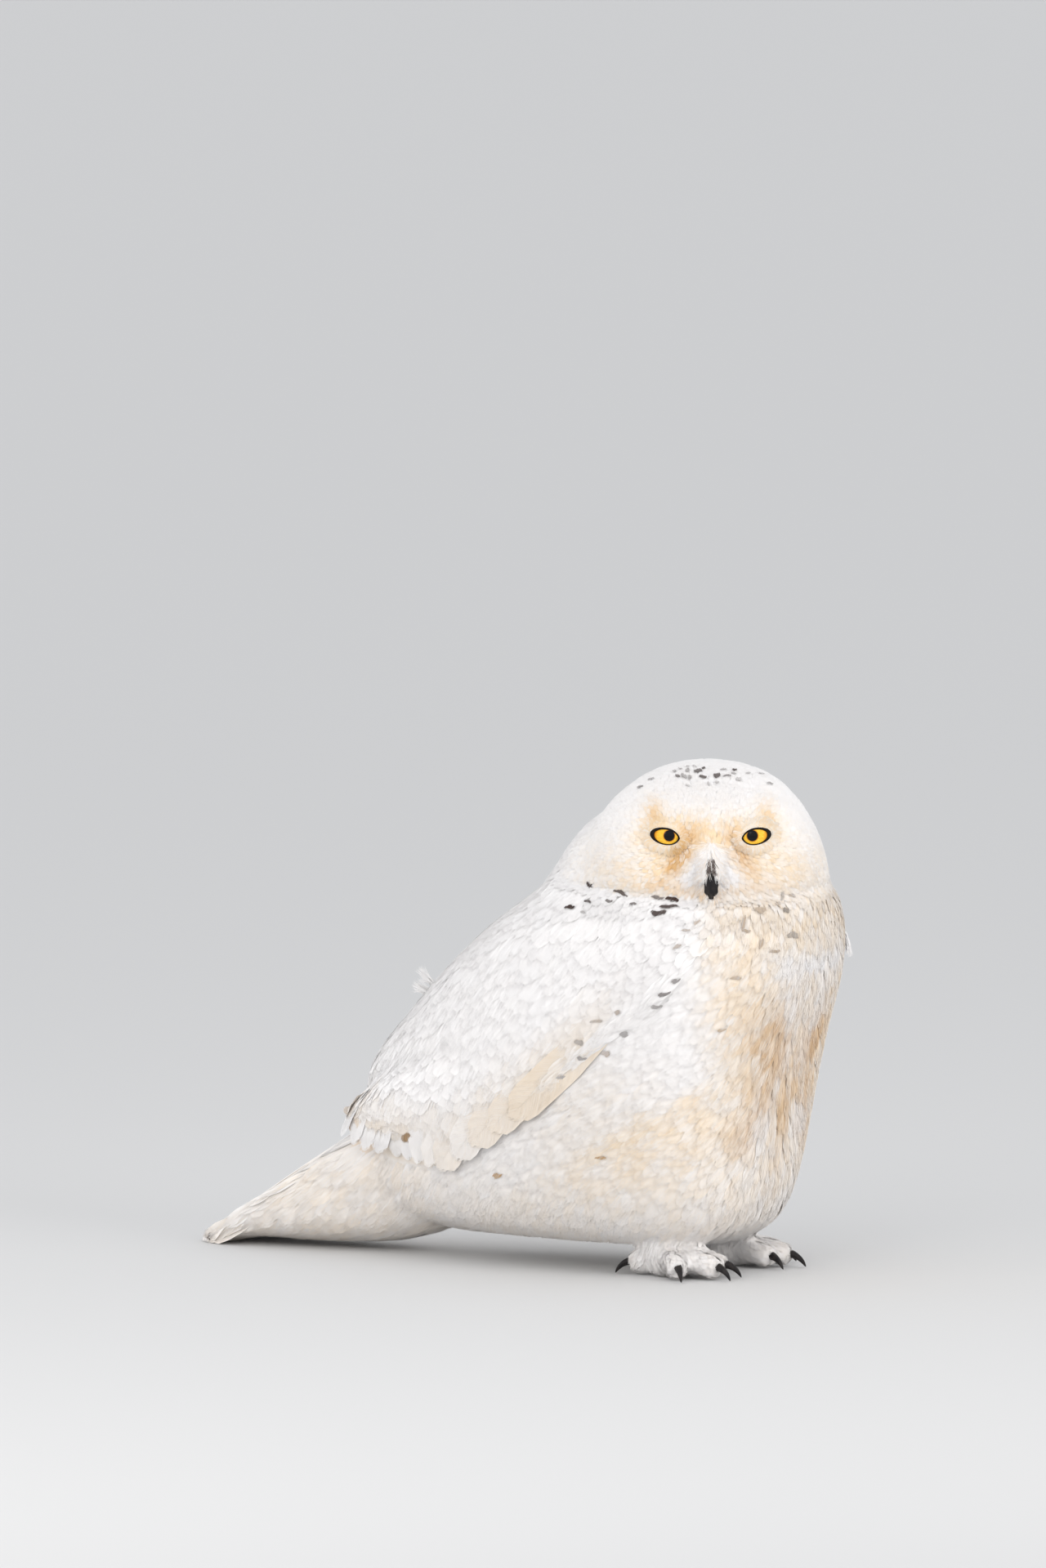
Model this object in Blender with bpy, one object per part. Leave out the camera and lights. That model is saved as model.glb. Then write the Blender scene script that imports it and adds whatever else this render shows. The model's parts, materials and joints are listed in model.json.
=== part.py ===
"""A male snowy owl at rest on the ground, life size, looking over its right shoulder.

Metres, +Z up. The owl's breast faces -Y, its right side is -X, and it stands on the plane z = 0.
The body is made whole as one smooth mass, then parted into head, neck, trunk and folded wings by thin cuts.
"""

import math

import bmesh
import bpy
from mathutils import Matrix, Vector

# --- driving sizes ---------------------------------------------------------------------------
UP = Vector((0, 0, 1))
GAP = 0.0004  # clear space left between two neighbouring pieces
BODY_VOXEL = 0.0035  # grid of the smooth mass before it is thinned
BODY_TRIANGLES = 1500
HEAD_TURN = math.radians(-58)  # the head looks over the right shoulder

# Trunk, from the nape down to the belly: height, y of the widest place, front, rear, half width.
TRUNK_RINGS = [
    (0.318, 0.000, 0.026, 0.068, 0.040),
    (0.303, 0.000, 0.036, 0.090, 0.056),
    (0.288, 0.000, 0.046, 0.103, 0.070),
    (0.272, 0.000, 0.065, 0.114, 0.076),
    (0.256, -0.002, 0.081, 0.130, 0.084),
    (0.230, -0.004, 0.082, 0.170, 0.092),
    (0.200, -0.002, 0.079, 0.203, 0.095),
    (0.165, 0.006, 0.076, 0.229, 0.096),
    (0.130, 0.014, 0.076, 0.251, 0.095),
    (0.100, 0.020, 0.077, 0.249, 0.092),
    (0.075, 0.025, 0.078, 0.240, 0.088),
    (0.052, 0.028, 0.076, 0.240, 0.080),
    (0.032, 0.030, 0.066, 0.222, 0.068),
    (0.0205, 0.030, 0.044, 0.180, 0.048),
]
RING_POINTS = 64
FRONT_POWER, REAR_POWER = 2.35, 2.0  # 2 is an ellipse, more is squarer
# The long primaries of a folded wing, from the flank to their tips: x, y, z, half height, half thickness.
PRIMARY_LINE = [
    (0.062, 0.110, 0.146, 0.028, 0.010),
    (0.066, 0.160, 0.126, 0.029, 0.013),
    (0.060, 0.205, 0.109, 0.026, 0.012),
    (0.052, 0.240, 0.098, 0.020, 0.009),
    (0.044, 0.264, 0.091, 0.010, 0.006),
]

# Head, in its own frame: the face looks to -Y before the turn.
HEAD_MIDDLE = Vector((-0.003, 0.0, 0.254))
HEAD_HALF_WIDTH, HEAD_HEIGHT = 0.085, 0.0945
HEAD_FRONT, HEAD_REAR = 0.079, 0.078
FACE_POWER = 2.5
HEAD_POWER = 2.15
# Relief of the face: x (both sides), z, spread across, spread up, how far it stands out.
FACE_RELIEF = {
    "bill_bristles": (0.000, 0.287, 0.012, 0.013, 0.0095),
    "chin": (0.000, 0.249, 0.028, 0.012, -0.0060),
    "forehead": (0.000, 0.318, 0.020, 0.018, 0.0020),
    "brow": (0.026, 0.321, 0.015, 0.006, 0.0035),
    "eye_hollow": (0.030, 0.299, 0.013, 0.010, -0.0065),
    "cheek": (0.048, 0.278, 0.018, 0.016, 0.0035),
}

# Where head, neck and trunk part: height over the axis, and how far each cut leans to the front.
HEAD_CUT, HEAD_CUT_LEAN = 0.2695, -0.11
NECK_CUT, NECK_CUT_LEAN = 0.2445, -0.16

# Eyes and bill, in the head's frame.
EYE_RADIUS = 0.0145
EYE_PLACE = Vector((0.0292, -0.0560, 0.3015))
EYE_SPLAY = math.radians(2)  # how far each eye looks outward
BILL_ROOT = Vector((0.0, -0.067, 0.2865))
BILL_REACH, BILL_DROP = 0.0240, 0.0270
BILL_HALF_WIDTH, BILL_HALF_DEPTH = 0.0073, 0.0072
BILL_TURN = math.radians(112)  # from level, over the hook, to pointing back a little
HOOK_BACK = 0.16  # of the reach
BLUNT = 0.0007  # radius left at the tip
LOWER_BILL_DROP = 0.0150  # its root lies this far under the upper one's
LOWER_BILL_REACH, LOWER_BILL_DIP, LOWER_BILL_RADIUS = 0.0205, 0.0070, 0.0042

# Folded wing, seen from the side: y and z of its outline, from the shoulder round the lower edge.
WING_OUTLINE = [
    (-0.052, 0.236),
    (-0.044, 0.220),
    (-0.010, 0.186),
    (0.045, 0.148),
    (0.096, 0.108),
    (0.138, 0.084),
    (0.172, 0.068),
    (0.214, 0.068),
    (0.262, 0.074),
    (0.284, 0.098),
    (0.254, 0.134),
    (0.206, 0.184),
    (0.140, 0.228),
    (0.070, 0.251),
    (0.000, 0.256),
    (-0.036, 0.252),
]
WING_THICKNESS = 0.009
WING_PROUD = 0.0045  # the wing's lower edge stands this far off the flank
WING_TIP_FROM = 0.165  # y where the long primaries begin
WING_TIP_LEAN = -0.55  # slope of the cut that parts the primaries from the rest
WING_REACH = 0.25  # how far out the wing's outline is carried to cut it
RIDGE_FRONT, RIDGE_TOP, RIDGE_SLOPE = -0.030, 0.262, 0.62  # the line where the wing leaves the back
RISE_DEPTH = 0.05  # below that line, the drop over which the wing comes to stand off the flank

# Tail with the coverts under it: y, top, bottom, half width.
TAIL_RINGS = [
    (0.210, 0.098, 0.016, 0.036),
    (0.240, 0.098, 0.008, 0.041),
    (0.268, 0.088, 0.005, 0.044),
    (0.295, 0.072, 0.004, 0.046),
    (0.320, 0.055, 0.004, 0.047),
    (0.342, 0.0405, 0.005, 0.047),
    (0.362, 0.0265, 0.003, 0.046),
    (0.379, 0.0145, -0.002, 0.041),
    (0.390, 0.0060, -0.002, 0.028),
]
TAIL_POWER = 2.6
TAIL_POINTS = 16

# Legs and feet: the right one, mirrored for the left.
LEG_X, LEG_Y = 0.040, 0.012
LEG_TOP, LEG_BOTTOM = 0.075, 0.010
LEG_RADIUS_TOP, LEG_RADIUS_BOTTOM = 0.021, 0.015
TOE_RADIUS = 0.0085
TOE_HEIGHT = 0.0078
BALL_AHEAD = 0.004  # the ball of the foot lies this far ahead of the shank's line
# name, direction from straight ahead (positive is away from the body), length
TOES = [
    ("inner", math.radians(-14), 0.040),
    ("middle", math.radians(10), 0.044),
    ("outer", math.radians(48), 0.036),
    ("hind", math.radians(168), 0.026),
]
CLAW_LENGTH = 0.021
CLAW_RADIUS = 0.0033
CLAW_TURN = math.radians(72)
CLAW_DROP = 0.64  # of the claw's length, at the end of its curve
FOOT_VOXEL = 0.0017
FOOT_TRIANGLES = 240

COLOURS = {
    "plumage": ((0.90, 0.88, 0.85), 0.85),
    "leg_plumage": ((0.88, 0.85, 0.80), 0.9),
    "horn": ((0.015, 0.013, 0.012), 0.35),
    "eye": ((0.85, 0.50, 0.04), 0.08),
}


# --- small tools -----------------------------------------------------------------------------
def clear_scene():
    for obj in list(bpy.data.objects):
        bpy.data.objects.remove(obj)


def finish_colour(name):
    material = bpy.data.materials.get(name)
    if material is None:
        colour, roughness = COLOURS[name]
        material = bpy.data.materials.new(name)
        material.use_nodes = True
        shader = material.node_tree.nodes["Principled BSDF"]
        shader.inputs["Base Color"].default_value = (*colour, 1)
        shader.inputs["Roughness"].default_value = roughness
        shader.inputs["Metallic"].default_value = 0
    return material


def new_object(name, points, faces):
    """A mesh object with its faces turned outward."""
    mesh = bpy.data.meshes.new(name)
    shape = bmesh.new()
    corners = [shape.verts.new(point) for point in points]
    for face in faces:
        shape.faces.new([corners[i] for i in face])
    bmesh.ops.recalc_face_normals(shape, faces=shape.faces)
    shape.to_mesh(mesh)
    shape.free()
    obj = bpy.data.objects.new(name, mesh)
    bpy.context.scene.collection.objects.link(obj)
    return obj


def copy_of(obj, name):
    twin = bpy.data.objects.new(name, obj.data.copy())
    bpy.context.scene.collection.objects.link(twin)
    return twin


def bake_modifiers(obj):
    """Replaces the object's mesh by what its modifiers make of it."""
    graph = bpy.context.evaluated_depsgraph_get()
    mesh = bpy.data.meshes.new_from_object(obj.evaluated_get(graph), depsgraph=graph)
    obj.modifiers.clear()
    obj.data = mesh


def swollen(obj, name, distance):
    """A copy whose surface lies this far outside, or inside if the distance is negative."""
    twin = copy_of(obj, name)
    for vertex, normal in zip(twin.data.vertices, [v.normal.copy() for v in obj.data.vertices]):
        vertex.co += normal * distance
    return twin


def boolean(obj, tool, operation):
    cut = obj.modifiers.new("cut", "BOOLEAN")
    cut.operation = operation
    cut.object = tool
    bake_modifiers(obj)


def carve(obj, neighbour, gap=GAP):
    """Takes the neighbour's room, and the gap round it, out of the object."""
    tool = swollen(neighbour, "carver", gap)
    boolean(obj, tool, "DIFFERENCE")
    bpy.data.objects.remove(tool)


def keep_side(obj, point, normal):
    """Keeps what lies on the side that the normal points to, and closes the cut."""
    shape = bmesh.new()
    shape.from_mesh(obj.data)
    every = shape.verts[:] + shape.edges[:] + shape.faces[:]
    cut = bmesh.ops.bisect_plane(
        shape, geom=every, plane_co=point, plane_no=normal, clear_inner=True, dist=1e-6
    )
    rim = [item for item in cut["geom_cut"] if isinstance(item, bmesh.types.BMEdge)]
    bmesh.ops.holes_fill(shape, edges=rim, sides=0)
    bmesh.ops.triangulate(shape, faces=shape.faces)
    bmesh.ops.recalc_face_normals(shape, faces=shape.faces)
    shape.to_mesh(obj.data)
    shape.free()


def catmull(points, steps, closed=False):
    """Points on a smooth curve through the given ones, steps to each stretch."""
    count = len(points)
    found = []
    for i in range(count if closed else count - 1):
        if closed:
            near = [points[(i + k) % count] for k in (-1, 0, 1, 2)]
        else:
            near = [points[min(max(i + k, 0), count - 1)] for k in (-1, 0, 1, 2)]
        for step in range(steps):
            s = step / steps
            weights = (
                (-s + 2 * s * s - s**3) / 2,
                (2 - 5 * s * s + 3 * s**3) / 2,
                (s + 4 * s * s - 3 * s**3) / 2,
                (-s * s + s**3) / 2,
            )
            found.append([sum(w * p[k] for w, p in zip(weights, near)) for k in range(len(near[0]))])
    if not closed:
        found.append(list(points[-1]))
    return found


def rounded(angle, power):
    """Cosine and sine of an angle, drawn out to a superellipse of that power."""
    c, s = math.cos(angle), math.sin(angle)
    return (
        math.copysign(abs(c) ** (2 / power), c),
        math.copysign(abs(s) ** (2 / power), s),
    )


def loft(name, rings):
    """A closed skin over rings of equal point count, with a fan at each end."""
    count = len(rings[0])
    points = [point for ring in rings for point in ring]
    faces = []
    for i in range(len(rings) - 1):
        for j in range(count):
            k = (j + 1) % count
            faces.append((i * count + j, i * count + k, (i + 1) * count + k, (i + 1) * count + j))
    for ring, start in ((rings[0], 0), (rings[-1], (len(rings) - 1) * count)):
        middle = sum((Vector(p) for p in ring), Vector()) / count
        points.append(middle)
        faces += [(start + j, start + (j + 1) % count, len(points) - 1) for j in range(count)]
    return new_object(name, points, faces)


def tube(name, line, radii, sides=12):
    """A round bar along a line of points, with a radius for each; its ends are closed flat."""
    rings = []
    for i, (middle, radius) in enumerate(zip(line, radii)):
        ahead = (line[min(i + 1, len(line) - 1)] - line[max(i - 1, 0)]).normalized()
        side = ahead.cross(Vector((0, 0, 1)))
        side = side.normalized() if side.length > 1e-4 else Vector((1, 0, 0))
        up = side.cross(ahead)
        turns = [2 * math.pi * j / sides for j in range(sides)]
        rings.append([middle + (side * math.cos(a) + up * math.sin(a)) * radius for a in turns])
    return loft(name, rings)


def joined(name, pieces):
    """One object that holds all the pieces' meshes, which may still run through each other."""
    shape = bmesh.new()
    for piece in pieces:
        shape.from_mesh(piece.data)
    mesh = bpy.data.meshes.new(name)
    shape.to_mesh(mesh)
    shape.free()
    for piece in pieces:
        bpy.data.objects.remove(piece)
    obj = bpy.data.objects.new(name, mesh)
    bpy.context.scene.collection.objects.link(obj)
    return obj


def melt(obj, voxel, smoothing):
    """Makes crossing shapes one smooth closed mass."""
    remesh = obj.modifiers.new("mass", "REMESH")
    remesh.mode = "VOXEL"
    remesh.voxel_size = voxel
    smooth = obj.modifiers.new("soften", "SMOOTH")
    smooth.factor = 0.5
    smooth.iterations = smoothing
    bake_modifiers(obj)


def thin_out(obj, triangles):
    faces = sum(len(face.vertices) - 2 for face in obj.data.polygons)
    decimate = obj.modifiers.new("thin", "DECIMATE")
    decimate.ratio = triangles / faces
    bake_modifiers(obj)


def turn_head(obj):
    obj.data.transform(Matrix.Rotation(HEAD_TURN, 4, "Z"))
    return obj


def head_place(point):
    return Matrix.Rotation(HEAD_TURN, 3, "Z") @ Vector(point)


# --- the body's mass --------------------------------------------------------------------------
def trunk_mass():
    rings = []
    for z, middle, front, rear, half_width in catmull(TRUNK_RINGS, 3):
        ring = []
        for j in range(RING_POINTS):
            angle = 2 * math.pi * j / RING_POINTS
            ahead = math.cos(angle) > 0
            along, across = rounded(angle, FRONT_POWER if ahead else REAR_POWER)
            reach = front if ahead else rear
            ring.append(Vector((across * half_width, middle - along * reach, z)))
        rings.append(ring)
    return loft("trunk_mass", rings)


def head_mass():
    """The dome of the head, with the face's relief pushed in and out of it."""
    levels = 40
    rings = []
    for i in range(1, levels):
        rise, spread = rounded(math.pi * i / levels, HEAD_POWER)
        ring = []
        for j in range(RING_POINTS):
            angle = 2 * math.pi * j / RING_POINTS
            ahead = math.cos(angle) > 0
            along, across = rounded(angle, FACE_POWER if ahead else REAR_POWER)
            depth = HEAD_FRONT if ahead else HEAD_REAR
            x = across * HEAD_HALF_WIDTH * spread
            y = -along * depth * spread
            z = HEAD_MIDDLE.z + HEAD_HEIGHT * rise
            if along > 0:
                y -= face_relief(x, z) * min(1, along * 1.6)
            ring.append(Vector((x + HEAD_MIDDLE.x, y + HEAD_MIDDLE.y, z)))
        rings.append(ring)
    return turn_head(loft("head_mass", rings))


def face_relief(x, z):
    out = 0
    for across, up, spread_x, spread_z, height in FACE_RELIEF.values():
        fall = ((abs(x) - across) / spread_x) ** 2 + ((z - up) / spread_z) ** 2
        out += height * math.exp(-fall / 2)
    return out


def primaries_mass(side):
    """The closed fan of long feathers that carries the folded wing past the rump."""
    rings = []
    for x, y, z, half_height, half_thickness in catmull(PRIMARY_LINE, 3):
        turns = [2 * math.pi * j / 20 for j in range(20)]
        rings.append(
            [
                Vector((side * x + math.cos(a) * half_thickness, y, z + math.sin(a) * half_height))
                for a in turns
            ]
        )
    return loft("primaries", rings)


def tail_mass():
    rings = []
    for y, top, bottom, half_width in catmull(TAIL_RINGS, 2):
        ring = []
        for j in range(TAIL_POINTS):
            across, up = rounded(2 * math.pi * j / TAIL_POINTS, TAIL_POWER)
            z = (top + bottom) / 2 + up * (top - bottom) / 2
            ring.append(Vector((across * half_width, y, z)))
        rings.append(ring)
    return loft("tail", rings)


def body_mass():
    body = joined("body", [trunk_mass(), head_mass(), primaries_mass(-1), primaries_mass(1)])
    melt(body, BODY_VOXEL, 6)
    thin_out(body, BODY_TRIANGLES)
    return body


# --- folded wings ------------------------------------------------------------------------------
def wing_prism(side, grow):
    """The wing's outline, drawn out sideways from the middle of the body."""
    outline = catmull(WING_OUTLINE, 2, closed=True)
    middle = Vector((sum(p[0] for p in outline), sum(p[1] for p in outline))) / len(outline)
    rings = []
    for x in (0.004, WING_REACH):
        ring = []
        for y, z in outline:
            out = Vector((y, z)) - middle
            out += out.normalized() * grow
            ring.append(Vector((side * x, middle.x + out.x, middle.y + out.y)))
        rings.append(ring)
    return loft("wing_prism", rings)


def wing_rise(point):
    """How far the wing stands off the flank here: most along its lower edge."""
    ridge = RIDGE_TOP - RIDGE_SLOPE * max(point.y - RIDGE_FRONT, 0)
    return WING_PROUD * min(max((ridge - point.z) / RISE_DEPTH, 0), 1)


def folded_wing(body, side, name):
    wing = copy_of(body, name)
    for vertex, normal in zip(wing.data.vertices, [v.normal.copy() for v in body.data.vertices]):
        vertex.co += normal * wing_rise(vertex.co)
    prism, inner = wing_prism(side, 0), swollen(body, "inner", -WING_THICKNESS)
    boolean(wing, prism, "INTERSECT")
    boolean(wing, inner, "DIFFERENCE")
    bpy.data.objects.remove(prism)
    bpy.data.objects.remove(inner)
    return wing


def wing_pocket(body, side):
    """The room that a wing takes out of the body, with the gap round it."""
    pocket, inner = wing_prism(side, GAP), swollen(body, "inner", -WING_THICKNESS - GAP)
    boolean(pocket, inner, "DIFFERENCE")
    bpy.data.objects.remove(inner)
    return pocket


# --- eyes and bill -----------------------------------------------------------------------------
def eye(side, name):
    middle = Vector((side * EYE_PLACE.x, EYE_PLACE.y, EYE_PLACE.z))
    shape = bmesh.new()
    bmesh.ops.create_uvsphere(shape, u_segments=14, v_segments=8, radius=EYE_RADIUS)
    mesh = bpy.data.meshes.new(name)
    shape.to_mesh(mesh)
    shape.free()
    mesh.transform(Matrix.Rotation(math.radians(90), 4, "X"))
    mesh.transform(Matrix.Rotation(side * EYE_SPLAY, 4, "Z"))
    mesh.transform(Matrix.Translation(middle))
    obj = bpy.data.objects.new(name, mesh)
    bpy.context.scene.collection.objects.link(obj)
    return turn_head(obj)


def upper_bill():
    """A hooked beak: an arc that starts level and turns straight down, thinning to its tip."""
    steps = 9
    line, rings = [], []
    for i in range(steps + 1):
        turn = BILL_TURN * i / steps
        out = math.sin(min(turn, math.pi / 2)) - HOOK_BACK * max(math.sin(turn - math.pi / 2), 0)
        drop = (1 - math.cos(turn)) / (1 - math.cos(BILL_TURN))
        line.append(BILL_ROOT - Vector((0, BILL_REACH * out, BILL_DROP * drop)))
    for i, middle in enumerate(line):
        ahead = (line[min(i + 1, steps)] - line[max(i - 1, 0)]).normalized()
        up = Vector((1, 0, 0)).cross(ahead)
        share = i / steps
        wide = BILL_HALF_WIDTH * (1 - share**2.8) + BLUNT
        deep = BILL_HALF_DEPTH * (1 - share**1.5) + BLUNT
        turns = [2 * math.pi * j / 14 for j in range(14)]
        rings.append(
            [middle + Vector((math.cos(a) * wide, 0, 0)) + up * (math.sin(a) * deep) for a in turns]
        )
    return turn_head(loft("upper_bill", rings))


def lower_bill():
    start = BILL_ROOT + Vector((0, 0.004, -LOWER_BILL_DROP))
    steps = 6
    line, radii = [], []
    for i in range(steps + 1):
        share = i / steps
        line.append(start - Vector((0, LOWER_BILL_REACH * share, LOWER_BILL_DIP * share**1.6)))
        radii.append(LOWER_BILL_RADIUS * (1 - share**2) + BLUNT)
    return turn_head(tube("lower_bill", line, radii, sides=10))


# --- legs and feet -----------------------------------------------------------------------------
def leg(side, name):
    steps = 4
    line, radii = [], []
    for i in range(steps + 1):
        share = i / steps
        line.append(Vector((side * LEG_X, LEG_Y, LEG_TOP + (LEG_BOTTOM - LEG_TOP) * share)))
        radii.append(LEG_RADIUS_TOP + (LEG_RADIUS_BOTTOM - LEG_RADIUS_TOP) * share)
    return tube(name, line, radii)


def toe_line(side, direction, length, steps=6):
    """From the ball of the foot to the toe's end, arched a little."""
    ahead = Vector((side * math.sin(direction), -math.cos(direction), 0))
    ball = Vector((side * LEG_X, LEG_Y - BALL_AHEAD, 0))
    line = []
    for i in range(steps + 1):
        share = i / steps
        height = TOE_HEIGHT + 0.0035 * math.sin(math.pi * share)
        line.append(ball + ahead * (length * share) + Vector((0, 0, height)))
    return line


def foot(side, name):
    parts = []
    for toe, direction, length in TOES:
        line = toe_line(side, direction, length)
        last = len(line) - 1
        radii = [TOE_RADIUS * (1.18 - 0.34 * (i / last) ** 1.5) for i in range(len(line))]
        parts.append(tube(toe, line, radii))
    ball = [Vector((side * LEG_X, LEG_Y - BALL_AHEAD, z)) for z in (0.002, 0.009, 0.018)]
    parts.append(tube("ball", ball, [0.0125, 0.0150, 0.0120]))
    obj = joined(name, parts)
    melt(obj, FOOT_VOXEL, 3)
    thin_out(obj, FOOT_TRIANGLES)
    keep_side(obj, Vector(), UP)
    return obj


def claw(side, toe, direction, length):
    """A black claw that springs from the toe's end and curves down to just off the floor."""
    ahead = Vector((side * math.sin(direction), -math.cos(direction), 0))
    root = toe_line(side, direction, length)[-1] - ahead * 0.004 + Vector((0, 0, 0.0022))
    steps = 5
    line, radii = [], []
    for i in range(steps + 1):
        share = i / steps
        turn = CLAW_TURN * share
        out = CLAW_LENGTH * math.sin(turn) / CLAW_TURN
        drop = CLAW_LENGTH * CLAW_DROP * (1 - math.cos(turn))
        line.append(root + ahead * out - Vector((0, 0, drop)))
        radii.append(CLAW_RADIUS * (1 - share) ** 0.7 + 0.0004)
    name = "claw_" + ("right_" if side < 0 else "left_") + toe
    return tube(name, line, radii, sides=6)


# --- the whole owl -----------------------------------------------------------------------------
def part_body(body):
    """Cuts the mass into head, neck and trunk along two tilted planes."""
    under_head = UP * HEAD_CUT
    head_up = (UP + head_place((0, HEAD_CUT_LEAN, 0))).normalized()
    under_neck = UP * NECK_CUT
    neck_up = Vector((0, NECK_CUT_LEAN, 1)).normalized()
    half = GAP / 2
    head = copy_of(body, "head")
    keep_side(head, under_head + head_up * half, head_up)
    neck = copy_of(body, "neck")
    keep_side(neck, under_head - head_up * half, -head_up)
    keep_side(neck, under_neck + neck_up * half, neck_up)
    trunk = copy_of(body, "trunk")
    keep_side(trunk, under_neck - neck_up * half, -neck_up)
    return head, neck, trunk


def centre_on_floor(objects):
    """Puts the middle of the owl's box over the origin, with its soles at z = 0."""
    corners = [vertex.co for obj in objects for vertex in obj.data.vertices]
    low = Vector([min(p[k] for p in corners) for k in range(3)])
    high = Vector([max(p[k] for p in corners) for k in range(3)])
    shift = Vector((-(low.x + high.x) / 2, -(low.y + high.y) / 2, -low.z))
    for obj in objects:
        obj.data.transform(Matrix.Translation(shift))


def main():
    clear_scene()
    body = body_mass()
    nodes = {}
    for side, word in ((-1, "right"), (1, "left")):
        wing = folded_wing(body, side, "wing_" + word)
        tip = copy_of(wing, "wing_tip_" + word)
        cut = Vector((0, WING_TIP_FROM, 0))
        across = Vector((0, 1, WING_TIP_LEAN)).normalized()
        keep_side(wing, cut - across * GAP / 2, -across)
        keep_side(tip, cut + across * GAP / 2, across)
        nodes[wing.name], nodes[tip.name] = wing, tip
    pockets = [wing_pocket(body, side) for side in (-1, 1)]
    for pocket in pockets:
        boolean(body, pocket, "DIFFERENCE")
        bpy.data.objects.remove(pocket)
    head, neck, trunk = part_body(body)
    bpy.data.objects.remove(body)

    tail = tail_mass()
    keep_side(tail, Vector(), UP)
    carve(tail, trunk)
    for name in ("wing_right", "wing_left", "wing_tip_right", "wing_tip_left"):
        carve(tail, nodes[name])

    for side, word in ((-1, "right"), (1, "left")):
        ball = eye(side, "eye_" + word)
        carve(head, ball)
        sole = foot(side, "foot_" + word)
        shank = leg(side, "leg_" + word)
        carve(shank, sole)
        carve(trunk, shank)
        nodes[ball.name], nodes[sole.name], nodes[shank.name] = ball, sole, shank
        for toe, direction, length in TOES:
            nail = claw(side, toe, direction, length)
            carve(nail, sole)
            nodes[nail.name] = nail
    beak, under = upper_bill(), lower_bill()
    carve(under, beak)
    for flesh in (head, neck, nodes["wing_right"]):
        carve(flesh, beak)
        carve(flesh, under)
    for obj in (head, neck, trunk, tail, beak, under):
        nodes[obj.name] = obj

    for name, obj in nodes.items():
        kind = "plumage"
        if name.startswith("eye"):
            kind = "eye"
        elif name.startswith("claw") or name.endswith("bill"):
            kind = "horn"
        elif name.startswith(("leg", "foot")):
            kind = "leg_plumage"
        obj.data.materials.clear()
        obj.data.materials.append(finish_colour(kind))
        obj.data.shade_smooth()
        obj.data.set_sharp_from_angle(angle=math.radians(50))
    centre_on_floor(list(nodes.values()))


main()
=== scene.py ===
"""A snowy owl at rest on the ground, finished for show: skin, feathers, eyes, bill and claws."""

import json
import math

import bpy
import numpy as np
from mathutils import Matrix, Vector
from mathutils.bvhtree import BVHTree

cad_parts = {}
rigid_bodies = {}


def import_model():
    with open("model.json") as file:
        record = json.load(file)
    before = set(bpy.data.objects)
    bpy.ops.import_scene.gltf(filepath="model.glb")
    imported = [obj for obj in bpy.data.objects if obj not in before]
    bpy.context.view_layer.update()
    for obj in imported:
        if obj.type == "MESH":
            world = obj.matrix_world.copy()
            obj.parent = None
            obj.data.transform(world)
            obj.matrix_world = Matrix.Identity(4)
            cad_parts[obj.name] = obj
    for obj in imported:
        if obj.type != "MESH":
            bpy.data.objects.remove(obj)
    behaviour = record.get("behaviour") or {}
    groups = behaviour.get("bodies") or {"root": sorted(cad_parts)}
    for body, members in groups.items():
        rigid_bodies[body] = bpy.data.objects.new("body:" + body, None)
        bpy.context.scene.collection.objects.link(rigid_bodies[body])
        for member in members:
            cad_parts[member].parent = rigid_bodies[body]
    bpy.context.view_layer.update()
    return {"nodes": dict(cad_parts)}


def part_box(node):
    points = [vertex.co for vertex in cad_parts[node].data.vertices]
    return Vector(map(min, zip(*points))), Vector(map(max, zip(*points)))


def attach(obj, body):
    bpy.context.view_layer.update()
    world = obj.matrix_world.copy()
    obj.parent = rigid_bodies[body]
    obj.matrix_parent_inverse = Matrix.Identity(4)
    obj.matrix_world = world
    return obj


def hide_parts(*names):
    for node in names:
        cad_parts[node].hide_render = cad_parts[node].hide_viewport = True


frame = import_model()

# --- places, all from the solids ---------------------------------------------------------------
MM = 0.001
UP = Vector((0, 0, 1))
SIDES = {"right": -1, "left": 1}
TOES = ("inner", "middle", "outer", "hind")
FLESH = [
    "head", "neck", "trunk", "tail", "wing_right", "wing_left", "wing_tip_right", "wing_tip_left",
    "leg_right", "leg_left", "foot_right", "foot_left",
]


def middle_of(node):
    low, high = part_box(node)
    return (low + high) / 2


EYE = {side: middle_of("eye_" + side) for side in SIDES}
EYE_RADIUS = (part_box("eye_right")[1].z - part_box("eye_right")[0].z) / 2
BETWEEN_EYES = (EYE["right"] + EYE["left"]) / 2
EYE_APART = (EYE["left"] - EYE["right"]).length / 2
ACROSS = (EYE["left"] - EYE["right"]).normalized()  # to the owl's own left
FACING = ACROSS.cross(UP)  # the way the face looks
EYES_AHEAD = 56.0  # mm from the neck's axis
AXIS = BETWEEN_EYES - FACING * EYES_AHEAD * MM


def arr(vector):
    return np.array(vector, float)


def smoothstep(low, high, value):
    t = np.clip((value - low) / (high - low), 0, 1)
    return t * t * (3 - 2 * t)


def unit(vectors):
    return vectors / (np.linalg.norm(vectors, axis=-1, keepdims=True) + 1e-12)


def tangent(vectors, normal):
    """The part of each vector along the surface, at length 1."""
    return unit(vectors - normal * np.sum(vectors * normal, -1, keepdims=True))


def hill(x, y, wide, high):
    """A round soft patch, 1 at its middle."""
    return np.exp(-0.5 * ((x / wide) ** 2 + (y / high) ** 2))


def face_place(points):
    """Across to the owl's left, up and ahead of the middle between the eyes, in millimetres."""
    away = (points - arr(BETWEEN_EYES)) / MM
    return away @ arr(ACROSS), away[..., 2], away @ arr(FACING)


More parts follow.
